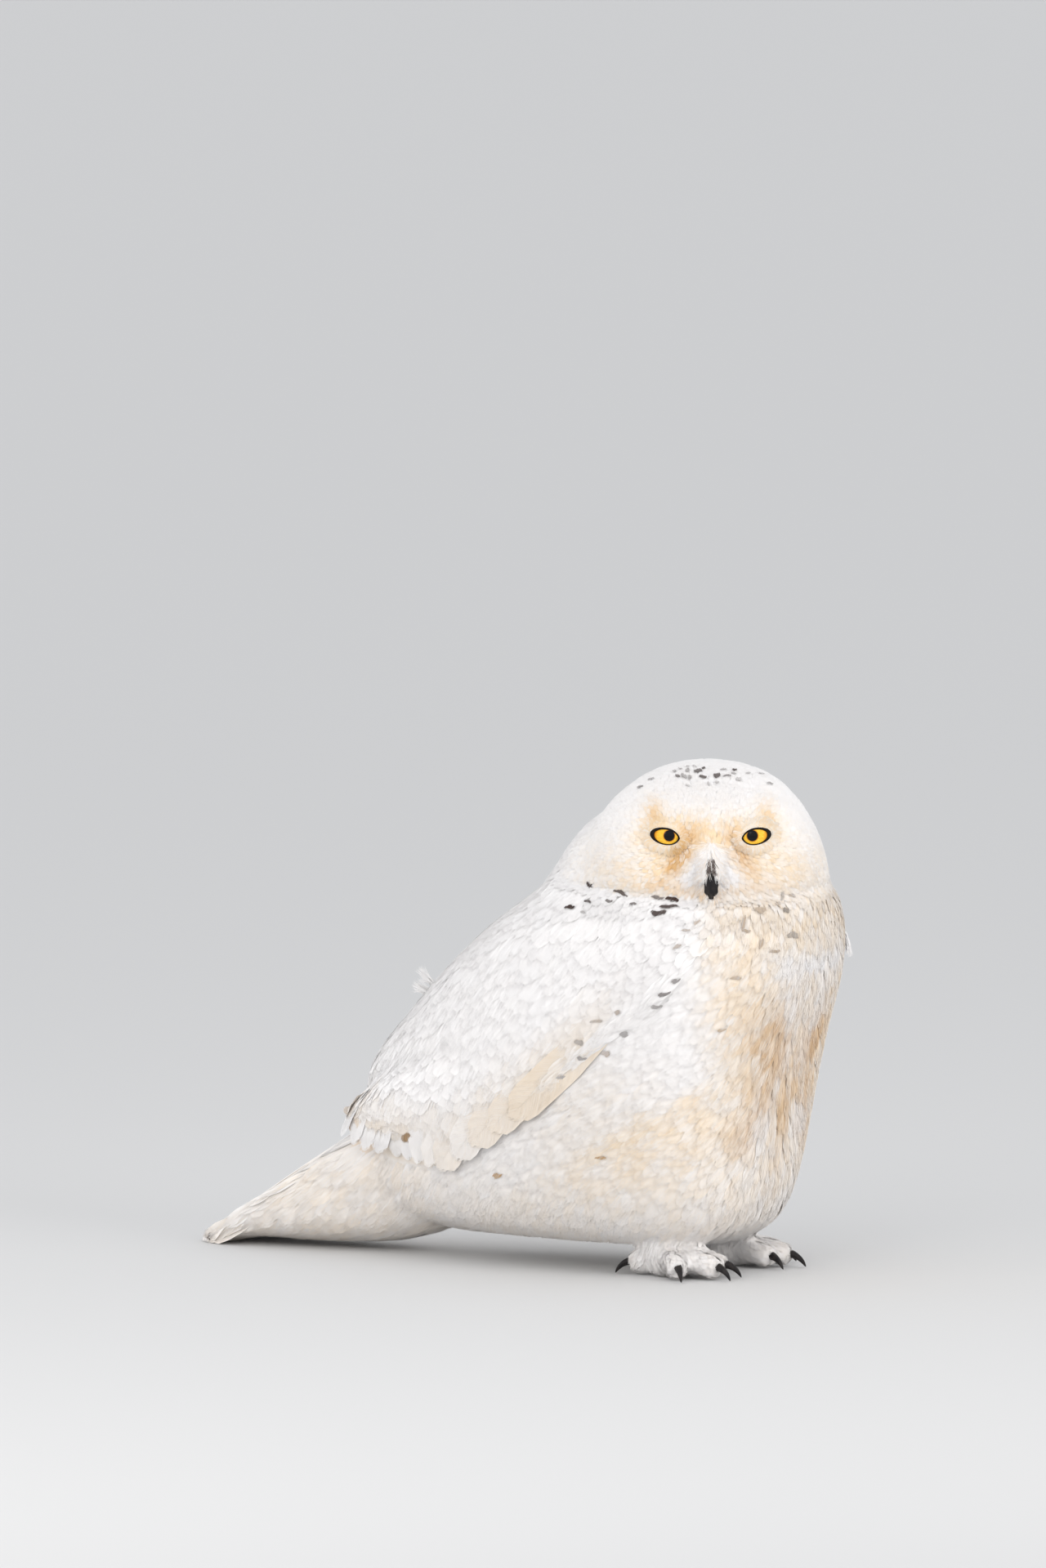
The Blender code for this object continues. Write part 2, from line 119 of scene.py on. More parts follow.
def body_place(points):
    """Side, rearward of the neck's axis and height, in millimetres."""
    away = (points - np.array([AXIS.x, AXIS.y, 0])) / MM
    return away[..., 0], away[..., 1], away[..., 2]


def chin_line(across):
    """Height of the face's lower edge, where the shoulders and breast begin."""
    return -42 + 0.0008 * across**2


# --- the coat -------------------------------------------------------------------------------------
class Coat:
    """How one kind of feather grows, in millimetres."""

    def __init__(self, spacing, length, width, depth, strands, fine, stand, vane=0.78, swing=0.1):
        self.spacing, self.length, self.width, self.depth = spacing, length, width, depth
        self.strands, self.fine, self.stand = strands, fine, stand
        self.vane, self.swing = vane, swing


COATS = {
    "face": Coat(2.2, 11, 4.0, 1.5, 15, 0.26, 0.35, swing=0.14),
    "crown": Coat(3.3, 14, 5.6, 1.8, 13, 0.34, 0.15),
    "ruff": Coat(4.2, 21, 8.0, 2.0, 30, 0.36, 0.35),
    "breast": Coat(5.0, 31, 10, 2.3, 30, 0.42, 0.5, swing=0.12),
    "flank": Coat(5.2, 36, 11, 2.0, 36, 0.42, 0.3, swing=0.08),
    "belly": Coat(5.8, 36, 11, 2.6, 28, 0.46, 0.9, swing=0.14),
    "mantle": Coat(6.4, 38, 14, 1.8, 44, 0.42, 0.06, swing=0.05),
    "wing": Coat(7.0, 42, 15, 1.8, 29, 0.45, 0.06, swing=0.05),
    "vent": Coat(6.0, 42, 12, 2.4, 28, 0.48, 0.8, swing=0.12),
    "tail": Coat(9.0, 34, 14, 2.0, 14, 0.50, 0.1),
    "leg": Coat(3.4, 15, 5.0, 2.0, 12, 0.36, 1.4, swing=0.2),
    "foot": Coat(2.7, 12, 3.8, 1.2, 11, 0.34, 1.5, swing=0.22),
}
PATCH = 0.003  # width of one feather's patch on the unwrap
MERGE_WITHIN = 1e-5
dice = np.random.default_rng(20)


# --- modelling by hand -----------------------------------------------------------------------------
def pick(*objects):
    bpy.ops.object.select_all(action="DESELECT")
    for obj in objects:
        obj.select_set(True)
    bpy.context.view_layer.objects.active = objects[0]


def put_in_scene(name, data):
    obj = bpy.data.objects.new(name, data)
    bpy.context.scene.collection.objects.link(obj)
    return obj


def modify(obj, kind, **settings):
    """Adds a modifier, sets it and applies it."""
    pick(obj)
    modifier = obj.modifiers.new(kind.lower(), kind)
    for key, value in settings.items():
        setattr(modifier, key, value)
    bpy.ops.object.modifier_apply(modifier=modifier.name)


def edit_all(obj, *operations):
    """Runs mesh operations on the whole of an object in edit mode."""
    pick(obj)
    bpy.ops.object.mode_set(mode="EDIT")
    bpy.ops.mesh.select_all(action="SELECT")
    for operation, settings in operations:
        operation(**settings)
    bpy.ops.object.mode_set(mode="OBJECT")


def merged_copy(node, name):
    """A copy of a solid with its loose triangles joined into one skin."""
    obj = put_in_scene(name, frame["nodes"][node].data.copy())
    obj.data.materials.clear()
    edit_all(obj, (bpy.ops.mesh.remove_doubles, {"threshold": MERGE_WITHIN}))
    return obj


def read(items, name, width, kind=float):
    """One property of every vertex, triangle or corner, as rows of numbers."""
    values = np.empty(len(items) * width, kind)
    items.foreach_get(name, values)
    return values.reshape(-1, width)


def numbers(obj):
    """Vertex places, vertex normals and triangles of a mesh."""
    mesh = obj.data
    mesh.calc_loop_triangles()
    places, outward = read(mesh.vertices, "co", 3), read(mesh.vertices, "normal", 3)
    return places, outward, read(mesh.loop_triangles, "vertices", 3, np.int32)


def note(mesh, name, values):
    """Writes one number on each vertex."""
    attribute = mesh.attributes.new(name, "FLOAT", "POINT")
    attribute.data.foreach_set("value", np.asarray(values, np.float32))


# --- shader arithmetic -------------------------------------------------------------------------------
class Channel:
    """One output in a material; arithmetic on it adds Math nodes."""

    def __init__(self, paint, socket):
        self.paint = paint
        self.socket = socket

    def maths(self, operation, *values):
        return self.paint.node("ShaderNodeMath", {"operation": operation}, dict(enumerate(values)))

    def __add__(self, other):
        return self.maths("ADD", self, other)

    def __sub__(self, other):
        return self.maths("SUBTRACT", self, other)

    def __rsub__(self, other):
        return self.maths("SUBTRACT", other, self)

    def __mul__(self, other):
        return self.maths("MULTIPLY", self, other)

    def __truediv__(self, other):
        return self.maths("DIVIDE", self, other)

    def __pow__(self, other):
        return self.maths("POWER", self, other)

    __radd__ = __add__
    __rmul__ = __mul__

    def step(self, low, high):
        """0 below low, 1 above high, smooth between."""
        settings = {"interpolation_type": "SMOOTHSTEP"}
        return self.paint.node("ShaderNodeMapRange", settings, {0: self, 1: low, 2: high})


class Paint:
    """A material and the nodes that make it."""

    def __init__(self, name, **constants):
        self.material = bpy.data.materials.new(name)
        self.material.use_nodes = True
        self.tree = self.material.node_tree
        self.shader = self.tree.nodes["Principled BSDF"]
        for key, value in constants.items():
            self.shader.inputs[key.replace("_", " ")].default_value = value

    def node(self, kind, settings, inputs, output=0):
        made = self.tree.nodes.new(kind)
        for key, value in settings.items():
            setattr(made, key, value)
        for key, value in inputs.items():
            self.plug(made.inputs[key], value)
        return Channel(self, made.outputs[output])

    def plug(self, socket, value):
        if isinstance(value, Channel):
            self.tree.links.new(value.socket, socket)
        elif socket.type == "RGBA":
            socket.default_value = (*value, 1)
        else:
            socket.default_value = value

    def attribute(self, name):
        return self.node("ShaderNodeAttribute", {"attribute_name": name}, {}, "Fac")

    def place(self):
        return self.node("ShaderNodeTexCoord", {}, {}, "Object")

    def mapped(self, location, rotation, scale=(1, 1, 1)):
        """Object places seen from a piece's own middle and turn."""
        inputs = {"Vector": self.place(), "Location": location, "Rotation": rotation, "Scale": scale}
        return self.node("ShaderNodeMapping", {}, inputs)

    def parts(self, vector):
        first = self.node("ShaderNodeSeparateXYZ", {}, {"Vector": vector})
        return [Channel(self, output) for output in first.socket.node.outputs]

    def joined(self, x, y, z):
        return self.node("ShaderNodeCombineXYZ", {}, {"X": x, "Y": y, "Z": z})

    def mix(self, a, b, share):
        return self.node("ShaderNodeMix", {"data_type": "RGBA"}, {0: share, 6: a, 7: b}, 2)

    def noise(self, vector, scale, detail=2.0):
        return self.node("ShaderNodeTexNoise", {}, {"Vector": vector, "Scale": scale, "Detail": detail})

    def feed(self, name, value):
        self.plug(self.shader.inputs[name], value)

    def bump(self, height, distance, strength=1.0):
        inputs = {"Height": height, "Distance": distance, "Strength": strength}
        self.feed("Normal", self.node("ShaderNodeBump", {}, inputs))


# --- colours of the plumage -------------------------------------------------------------------------
WHITE = (0.905, 0.893, 0.893)
CREAM = (0.90, 0.72, 0.49)
GOLD = (0.72, 0.43, 0.17)
# GREY is mixed in as painted shade, and as a little grey tone
GREY = (0.40, 0.37, 0.36)
FLECK = (0.050, 0.028, 0.022)
ROUND_TO_MM = 1.4  # a degree round the breast, in millimetres
TINTS = ("cream", "gold", "grey")
# White blots and golden smears on each side of the breast, the smears also greyed as painted shadow
# at the breast's side edge: degrees round from its middle, height in millimetres, how many degrees wide
# and how many millimetres high.
BLOTS = (
    (22, 211, 8, 9), (5, 209, 5, 8), (14, 176, 9, 14), (10, 145, 6, 11), (20, 107, 6, 12), (32, 98, 7, 12),
)
SMEARS = ((28, 160, 11, 17), (19, 150, 7, 12), (27, 117, 10, 12), (4, 118, 6, 30), (40, 92, 8, 9))


def face_tints(across, up):
    """Cream and gold over the face, a little stronger on its right side, and painted shade as cream low on
    its left cheek.
    """
    side = np.abs(across)
    lean = np.where(across < 0, 1.10, 0.86)
    cream = (
        0.14 * hill(across, up + 6, 46, 30)
        + 0.80 * hill(across, up - 1, 16, 8)
        + 0.50 * hill(side - 28, up + 18, 13, 10)
        + 0.40 * hill(side - 54, up + 28, 24, 14)
        + 0.55 * hill(side - 42, up - 2, 8, 7)
        + 0.62 * hill(side - 38, up - 14, 6, 7)
        + 0.45 * hill(side - 18, up - 8, 7, 6)
        + 0.50 * hill(side - 13, up + 38, 9, 3)
        # painted shade low on the left cheek, the side turned from the key lamp
        + 0.16 * hill(across - 50, up + 22, 16, 14)
    )
    cream -= 0.80 * hill(across, up + 22, 10, 8) + 0.60 * hill(across, up + 11, 6, 4)
    cream -= 0.40 * hill(side - 15, up + 30, 8, 5)
    gold = (
        0.90 * hill(side - 12.7 + 0.69 * up, up + 13, 3.6, 8)
        + 0.50 * hill(side - 17, up + 12.5, 4, 3)
        + 0.40 * hill(side - 24, up + 22, 4, 4)
        + 0.50 * hill(side - 14, up - 3, 4, 5)
        + 0.30 * hill(side - 39, up - 15, 3.5, 6)
        + 0.30 * hill(side - 34, up + 34, 10, 4)
        + 0.30 * hill(side - 15, up + 38, 6, 2.5)
    )
    return cream * lean, gold * (2 * lean - 1.05)


def tail_top(rear):
    """Height of the tail's upper side."""
    return 76 - 0.63 * (rear - 288)


def breast_patches(patches, round_front, high):
    """How much of the given blots or smears lies at each place on the breast."""
    return sum(
        hill((round_front - turn) * ROUND_TO_MM, high - level, wide * ROUND_TO_MM, tall)
        for turn, level, wide, tall in patches
    )


def tints_at(points):
    """How cream, golden and grey the plumage is at each place; some of the cream and much of the grey is
    painted shade.
    """
    across, up, ahead = face_place(points)
    below = smoothstep(1.5, -1.5, up - chin_line(across))
    on_face = smoothstep(-78, -52, ahead) * (1 - below)
    cream, gold = face_tints(across, up)
    x, rear, high = body_place(points)
    out = np.abs(x)
    round_front = np.degrees(np.arctan2(out, -rear))
    low_edge = -46 + np.clip(135 - high, 0, None) * 1.85
    breast = (1 - smoothstep(low_edge - 16, low_edge + 16, rear)) * smoothstep(275, 250, high)
    strength = np.interp(high, [30, 60, 100, 150, 200, 250], [0.18, 0.24, 0.38, 0.44, 0.44, 0.44])
    blots = breast_patches(BLOTS, round_front, high)
    smears = breast_patches(SMEARS, round_front, high)
    low = smoothstep(95, 40, high)
    under_tail = smoothstep(150, 250, rear) * smoothstep(10, 22, tail_top(rear) - high)
    wing_tip = hill(rear - 254, high - 79, 10, 7) * smoothstep(15, 28, out)
    above = high - wing_edge(rear)
    # painted shade: a creamer, greyer band just above the folded wing's lower edge, where the wing curves
    # under
    painted_wing_edge_shade = smoothstep(-3, 2, above) * smoothstep(48, 0, above) * smoothstep(30, 45, out)
    # painted shade: a creamer, greyer patch on the flank below the wing
    flank = hill(rear - 39, high - 105, 45, 26) * smoothstep(50, 75, out)
    body_cream = (
        breast * strength * np.clip(1 - 0.9 * blots, 0, 1)
        + 0.12 * low * (1 - breast)
        + 0.13 * under_tail * smoothstep(120, 50, high)
        + 0.25 * wing_tip
        + 0.34 * painted_wing_edge_shade * smoothstep(0, 60, rear)
        + 0.20 * flank
        + 0.20 * breast * smears
        + 0.02
    )
    body_cream *= 1 - 0.7 * smoothstep(30, 16, high) * smoothstep(60, 20, np.abs(rear))
    body_gold = breast * 0.36 * smears + 0.40 * wing_tip
    grey = (
        0.10 * hill(across, up - 42, 40, 14) * smoothstep(-60, -20, ahead)
        # painted shade low on the left cheek
        + on_face * 0.06 * hill(across - 50, up + 22, 18, 16)
        # painted shade beside the bill's tip, at the face's lower edge
        + on_face * 0.12 * hill(np.abs(across) - 12, up + 37, 8, 4)
        + 0.15 * painted_wing_edge_shade
        + 0.08 * flank
        # painted shadow at the breast's side edge, laid over the smears
        + 0.08 * breast * smears
        + 0.05 * breast * smoothstep(190, 240, high)
    )
    tints = {
        "cream": on_face * cream + (1 - on_face) * body_cream,
        "gold": on_face * gold + (1 - on_face) * body_gold,
        "grey": grey,
    }
    return {key: np.clip(value, 0, 1) for key, value in tints.items()}


def plumage_paint():
    sheen = {"Sheen_Weight": 0.15, "Sheen_Roughness": 0.6}
    paint = Paint("plumage", Roughness=0.75, Specular_IOR_Level=0.25, **sheen)
    along = paint.attribute("along")
    tone = paint.attribute("tone")
    cloud = paint.noise(paint.place(), 45.0, 3.0)
    streak = tone * 0.9 + cloud * 0.5 - 0.2
    # the cream tint is cream colour, and also painted shade over the wing's lower edge, on the flank and on
    # the left cheek
    cream = paint.attribute("cream") * (0.25 + streak * 1.5)
    gold = paint.attribute("gold") * (0.30 + tone * 1.1)
    colour = paint.mix(WHITE, CREAM, cream)
    colour = paint.mix(colour, GOLD, gold)
    # much of the grey tint is painted shade
    colour = paint.mix(colour, GREY, paint.attribute("grey") * (0.5 + tone))
    # painted shade: each feather a little darker towards its root, where it lies under others, times a
    # little random tone
    root_shade_and_tone = (0.95 + along.step(0.0, 0.5) * 0.05) * (0.97 + tone * 0.03)
    colour = paint.mix((0, 0, 0), colour, root_shade_and_tone)
    colour = paint.mix(colour, FLECK, paint.attribute("fleck"))
    paint.feed("Base Color", colour)
    return paint.material


# --- the form of the plumage and the skin under it ---------------------------------------------------
FORM_VOXEL = 2.3 * MM
CUTS_CLOSED = 0.6 * MM  # how far each solid swells, so that the cuts between them close
TOES_BELOW = 24 * MM  # under this height the form is smoothed less, to keep the toes
TOES_SMOOTHED = 0.3
FORM_ROUNDS = 14  # of smoothing


def plumage_form():
    """One closed surface out to the feathers' tips, from the solids of flesh and the eyes."""
    others = ["eye_right", "eye_left", "upper_bill", "lower_bill"]
    pieces = [merged_copy(node, "form") for node in FLESH + others]
    for piece in pieces:
        modify(piece, "DISPLACE", strength=CUTS_CLOSED, mid_level=0)
    pick(*pieces)
    bpy.ops.object.join()
    form = pieces[0]
    modify(form, "REMESH", mode="VOXEL", voxel_size=FORM_VOXEL)
    keep_outer_shell(form)
    group = form.vertex_groups.new(name="soft")
    for vertex in form.data.vertices:
        group.add([vertex.index], TOES_SMOOTHED if vertex.co.z < TOES_BELOW else 1.0, "REPLACE")
    modify(form, "SMOOTH", factor=0.5, iterations=FORM_ROUNDS, vertex_group="soft")
    form.vertex_groups.clear()
    shape_form(form)
    return form


def shape_form(form):
    """Draws the coat in under the face, and trims the back and the head's outline."""
    places, outward, _ = numbers(form)
    across, up, ahead = face_place(places)
    _, rear, high = body_place(places)
    drop = up - chin_line(across)
    bulge = 1.4 * np.exp(-(((drop + 9) / 7) ** 2))
    groove = 2.0 * np.exp(-(((drop - 1) / 3) ** 2))
    move = smoothstep(-60, -20, ahead) * (bulge - groove)
    slim = np.interp(high, [8, 30, 60, 85, 112, 150, 200, 262, 290, 345], [0, 3, 7, 6, 3.5, 6, 8, 9, 6, 4])
    move -= slim * smoothstep(0.15, 0.75, outward[:, 1]) * smoothstep(-150, -60, -np.abs(rear - 390))
    places = places + outward * (move * MM)[:, None]
    lean = 3.5 * smoothstep(8, 44, up) * smoothstep(-90, -40, ahead)  # of the crown to the left
    places += np.outer(lean * MM, arr(ACROSS))
    form.data.vertices.foreach_set("co", places.ravel())
    form.data.update()


def keep_outer_shell(obj):
    """Drops any bubble left inside where two solids met."""
    mesh = obj.data
    pick(obj)
    bpy.ops.object.mode_set(mode="EDIT")
    bpy.ops.mesh.select_all(action="DESELECT")
    bpy.ops.object.mode_set(mode="OBJECT")
    max(mesh.vertices, key=lambda v: v.co.z).select = True
    bpy.ops.object.mode_set(mode="EDIT")
    bpy.ops.mesh.select_linked()
    bpy.ops.mesh.select_all(action="INVERT")
    bpy.ops.mesh.delete(type="VERT")
    bpy.ops.object.mode_set(mode="OBJECT")


def unwrap(obj):
    layout = {"angle_limit": 1.15, "island_margin": 0.004}
    edit_all(obj, (bpy.ops.mesh.quads_convert_to_tris, {}), (bpy.ops.uv.smart_project, layout))
    obj.data.uv_layers[0].name = "OFBake"


def nearest_node(points):
    """The solid of flesh that each point lies on."""
    places, triangles, owner = [], [], []
    for number, node in enumerate(FLESH):
        mesh_places, _, mesh_triangles = numbers(frame["nodes"][node])
        triangles += (mesh_triangles + len(places)).tolist()
        places += mesh_places.tolist()
        owner += [number] * len(mesh_triangles)
    tree = BVHTree.FromPolygons(places, triangles)
    return [owner[tree.find_nearest(p)[2]] for p in points.tolist()]


def coat_regions(points, outward):
    """Which coat grows at each point."""
    node = np.array(FLESH)[nearest_node(points)]
    _, rear, high = body_place(points)
    across, up, ahead = face_place(points)
    region = np.full(len(points), "flank", dtype=object)
    region[(rear < 12) & (outward[:, 1] < -0.3)] = "breast"
    region[(outward[:, 2] > 0.18) & (rear > 30)] = "mantle"
    region[high < 66] = "belly"
    region[(rear > 150) & (high < 95)] = "vent"
    region[node == "neck"] = "ruff"
    region[(node == "neck") & (rear > 45)] = "mantle"
    head = (node == "head") & ((up > chin_line(across)) | (ahead < -60))
    region[(node == "head") & ~head] = "ruff"
    region[head] = "crown"
    region[head & (ahead > -52) & (np.hypot(across / 74, (up + 10) / 40) < 1)] = "face"
    region[(node == "neck") & (up > chin_line(across)) & (ahead > -52)] = "face"
    region[np.char.startswith(node, "wing")] = "wing"
    low_wing = (region == "wing") & (high < wing_edge(rear) + 7 * smoothstep(90, 150, rear) - 2)
    region[low_wing] = "flank"
    region[low_wing & (rear > 140)] = "vent"
    region[node == "tail"] = "vent"
    region[(node == "tail") & (outward[:, 2] > 0.74)] = "tail"
    region[np.char.startswith(node, "leg")] = "leg"
    region[np.char.startswith(node, "foot")] = "foot"
    return region


def wing_edge(rear):
    """Height of the folded wing's lower edge."""
    return np.interp(rear, [-52, 96, 138, 172, 214, 262, 284], [236, 108, 84, 66, 68, 76, 98])


def fall_of_coat(points, outward, region):
    """The way each feather points, along the surface."""
    x, rear, high = body_place(points)
    _, up, ahead = face_place(points)
    slope = np.interp(high, [25, 50, 85, 150, 190, 225, 250], [74, 54, 31, 32, 38, 50, 60])
    slope = slope + 8 * smoothstep(20, 80, rear) * smoothstep(50, 90, high)
    slope = np.where(region == "mantle", 50, slope)
    above = high - wing_edge(rear)
    over_wing = 39 + 19 * smoothstep(0, 60, above)
    over_wing = over_wing + (71 - over_wing) * smoothstep(70, 230, rear)
    slope = np.where(region == "wing", over_wing, slope)
    slope = np.where(region == "vent", np.interp(rear, [150, 300], [50, 40]), slope)
    slope = np.where(region == "tail", 30, slope)
    slope = np.radians(slope)
    spread = 0.30 * np.clip(x / 45, -1, 1) * (region == "breast")
    way = np.stack([spread, np.cos(slope), -np.sin(slope)], 1)
    # head: away from the bill's root and from each eye
    pole = arr(BETWEEN_EYES) - 15 * MM * arr(UP) + 14 * MM * arr(FACING)
    fan = unit(points - pole)
    for side in SIDES:
        from_eye = points - arr(EYE[side])
        from_eye -= arr(FACING) * (from_eye @ arr(FACING))[:, None]
        reach = np.linalg.norm(from_eye, axis=1)
        near_eye = 3.4 * np.exp(-((reach / (15 * MM)) ** 2)) * smoothstep(-70, -35, ahead)
        fan += unit(from_eye) * near_eye[:, None]
    behind = smoothstep(-40, -95, ahead)
    fan[:, 2] -= 1.2 * behind + 0.35 * smoothstep(-10, -40, up)
    on_head = np.isin(region, ["face", "crown"])
    way = np.where(on_head[:, None], fan, way)
    ruff = (region == "ruff")[:, None]
    away = unit(points - arr(AXIS + UP * 0.33)) * np.array([1, 1, 0]) + np.array([0, 0.35, -1.1])
    way = np.where(ruff, away, way)
    # feet and legs: down the shank, then out along the toes
    for side, sign in SIDES.items():
        ball = arr(middle_of("leg_" + side))
        ball[2] = 12 * MM
        out = points - ball
        out[:, 2] = np.where(points[:, 2] > 18 * MM, -30 * MM, -14 * MM)
        near = np.isin(region, ["leg", "foot"]) & (np.sign(x) == sign)
        way = np.where(near[:, None], out, way)
    return tangent(way, outward)


SPINE_STEPS = 6  # points along each feather's middle line
STIFFNESS = 0.5  # how much a feather keeps its own way against the fall of the coat
TRIES_A_ROOT = 3.2
CLOSEST = 0.82  # least distance between roots, against their spacing


class Form:
    """The plumage form as arrays, ready to lay feathers on."""

    def __init__(self, obj):
        self.places, self.outward, self.triangles = numbers(obj)
        self.tree = BVHTree.FromPolygons(self.places.tolist(), self.triangles.tolist())
        corner = self.places[self.triangles]
        twice = np.cross(corner[:, 1] - corner[:, 0], corner[:, 2] - corner[:, 0])
        self.area = np.linalg.norm(twice, axis=1) / 2
        self.centre = corner.mean(1)
        self.normal = unit(self.outward[self.triangles].mean(1))
        self.region = coat_regions(self.centre, self.normal)
        self.way = self.blended(fall_of_coat(self.centre, self.normal, self.region))
        uv = read(obj.data.uv_layers["OFBake"].data, "uv", 2)
        self.uv = uv[read(obj.data.loop_triangles, "loops", 3, np.int32)]

    def blended(self, way, rounds=8):
        """The fall of the coat with its changes between regions smoothed out."""
        corners = self.triangles.ravel()
        count = np.maximum(np.bincount(corners, minlength=len(self.places)), 1)[:, None]
        for _ in range(rounds):
            at_corner = np.zeros((len(self.places), 3))
            np.add.at(at_corner, corners, np.repeat(way, 3, axis=0))
            way = tangent((at_corner / count)[self.triangles].mean(1), self.normal)
        return way

    def settle(self, points):
        """The nearest place on the form to each point, and its triangle."""
        found = [self.tree.find_nearest(p) for p in points.tolist()]
        return np.array([f[0] for f in found]), np.array([f[2] for f in found])

    def struck(self, origins, direction):
        """Where straight lines from these origins first meet the form; only those that do."""
        found = [self.tree.ray_cast(o, direction) for o in origins.tolist()]
        met = [i for i, f in enumerate(found) if f[0] is not None]
        return np.array(met), np.array([found[i][0] for i in met]), np.array([found[i][2] for i in met])

    def patches_at(self, faces):
        return self.uv[faces].mean(1)

    def patches_near(self, points):
        return self.patches_at(self.settle(points)[1])

    def roots(self, faces, spacing):
        """Evenly strewn places on these triangles: places, triangles and patches on the unwrap."""
        area = self.area[faces]
        tries = int(area.sum() / (spacing * spacing) * TRIES_A_ROOT)
        chosen = faces[dice.choice(len(faces), tries, p=area / area.sum())]
        share = np.sqrt(dice.random(tries))
        lean = dice.random(tries)
        weights = np.stack([1 - share, share * (1 - lean), share * lean], 1)[:, :, None]
        places = (self.places[self.triangles[chosen]] * weights).sum(1)
        patches = (self.uv[chosen] * weights).sum(1)
        keep = strewn(places, spacing * CLOSEST)
        return places[keep], chosen[keep], patches[keep]


def strewn(places, spacing):
    """Which of the places to keep so that no two lie closer than the spacing."""
    taken = {}
    keep = []
    near = [(a, b, c) for a in (-1, 0, 1) for b in (-1, 0, 1) for c in (-1, 0, 1)]
    cells = np.floor(places / spacing).astype(int).tolist()
    for i, ((a, b, c), (x, y, z)) in enumerate(zip(cells, places.tolist())):
        others = [o for da, db, dc in near for o in taken.get((a + da, b + db, c + dc), ())]
        if all((x - p) ** 2 + (y - q) ** 2 + (z - r) ** 2 > spacing**2 for p, q, r in others):
            taken.setdefault((a, b, c), []).append((x, y, z))
            keep.append(i)
    return np.array(keep)


def spines(form, places, faces, lengths, swing=0.1, upstream=False):
    """Each feather's middle line, laid along the form: points and outward directions."""
    sense = -1 if upstream else 1
    way = form.way[faces] * sense
    normal = form.normal[faces]
    turn = dice.normal(0, swing, len(places))[:, None]
    way = unit(way + np.cross(normal, way) * turn)
    points, normals = [places], [normal]
    here = places
    step = np.reshape(lengths / (SPINE_STEPS - 1), (-1, 1))
    for _ in range(SPINE_STEPS - 1):
        ahead = here + way * step
        here, face = form.settle(ahead)
        normal = form.normal[face]
        way = tangent(way * STIFFNESS + form.way[face] * (sense * (1 - STIFFNESS)), normal)
        points.append(here)
        normals.append(normal)
    return np.stack(points, 1), np.stack(normals, 1)


class Bundle:
    """Feathers of one coat piece, gathered as arrays until the mesh is made."""

    def __init__(self, name):
        self.name = name
        self.places, self.outward, self.corners, self.sizes, self.patches = [], [], [], [], []
        self.marks = {key: [] for key in ("along", "tone", "fleck", *TINTS)}
        self.count = 0

    def add(self, places, outward, corners, sizes, patches, marks):
        """places and outward [n, 3]; corners flat vertex numbers; sizes of the faces; patches [n, 2]."""
        self.places.append(places)
        self.outward.append(outward)
        self.corners.append(corners + self.count)
        self.sizes.append(sizes)
        self.patches.append(patches)
        for key, values in marks.items():
            self.marks[key].append(values)
        self.count += len(places)

    def finish(self, paint):
        places = np.concatenate(self.places)
        places[:, 2] = np.maximum(places[:, 2], 0.3 * MM)
        corners = np.concatenate(self.corners).astype(np.int32)
        sizes = np.concatenate(self.sizes).astype(np.int32)
        mesh = bpy.data.meshes.new(self.name)
        mesh.vertices.add(len(places))
        mesh.vertices.foreach_set("co", places.ravel())
        mesh.loops.add(len(corners))
        mesh.loops.foreach_set("vertex_index", corners)
        mesh.polygons.add(len(sizes))
        starts = np.concatenate([[0], np.cumsum(sizes)[:-1]]).astype(np.int32)
        mesh.polygons.foreach_set("loop_start", starts)
        mesh.update(calc_edges=True)
        mesh.polygons.foreach_set("use_smooth", np.ones(len(sizes), bool))
        layer = mesh.uv_layers.new(name="OFBake")
        layer.data.foreach_set("uv", np.concatenate(self.patches)[corners].astype(np.float32).ravel())
        for key, values in self.marks.items():
            note(mesh, key, np.concatenate(values))
        mesh.materials.append(paint)
        mesh.update()
        mesh.normals_split_custom_set_from_vertices(np.concatenate(self.outward).astype(np.float32))
        obj = put_in_scene(self.name, mesh)
        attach(obj, "root")
        return obj


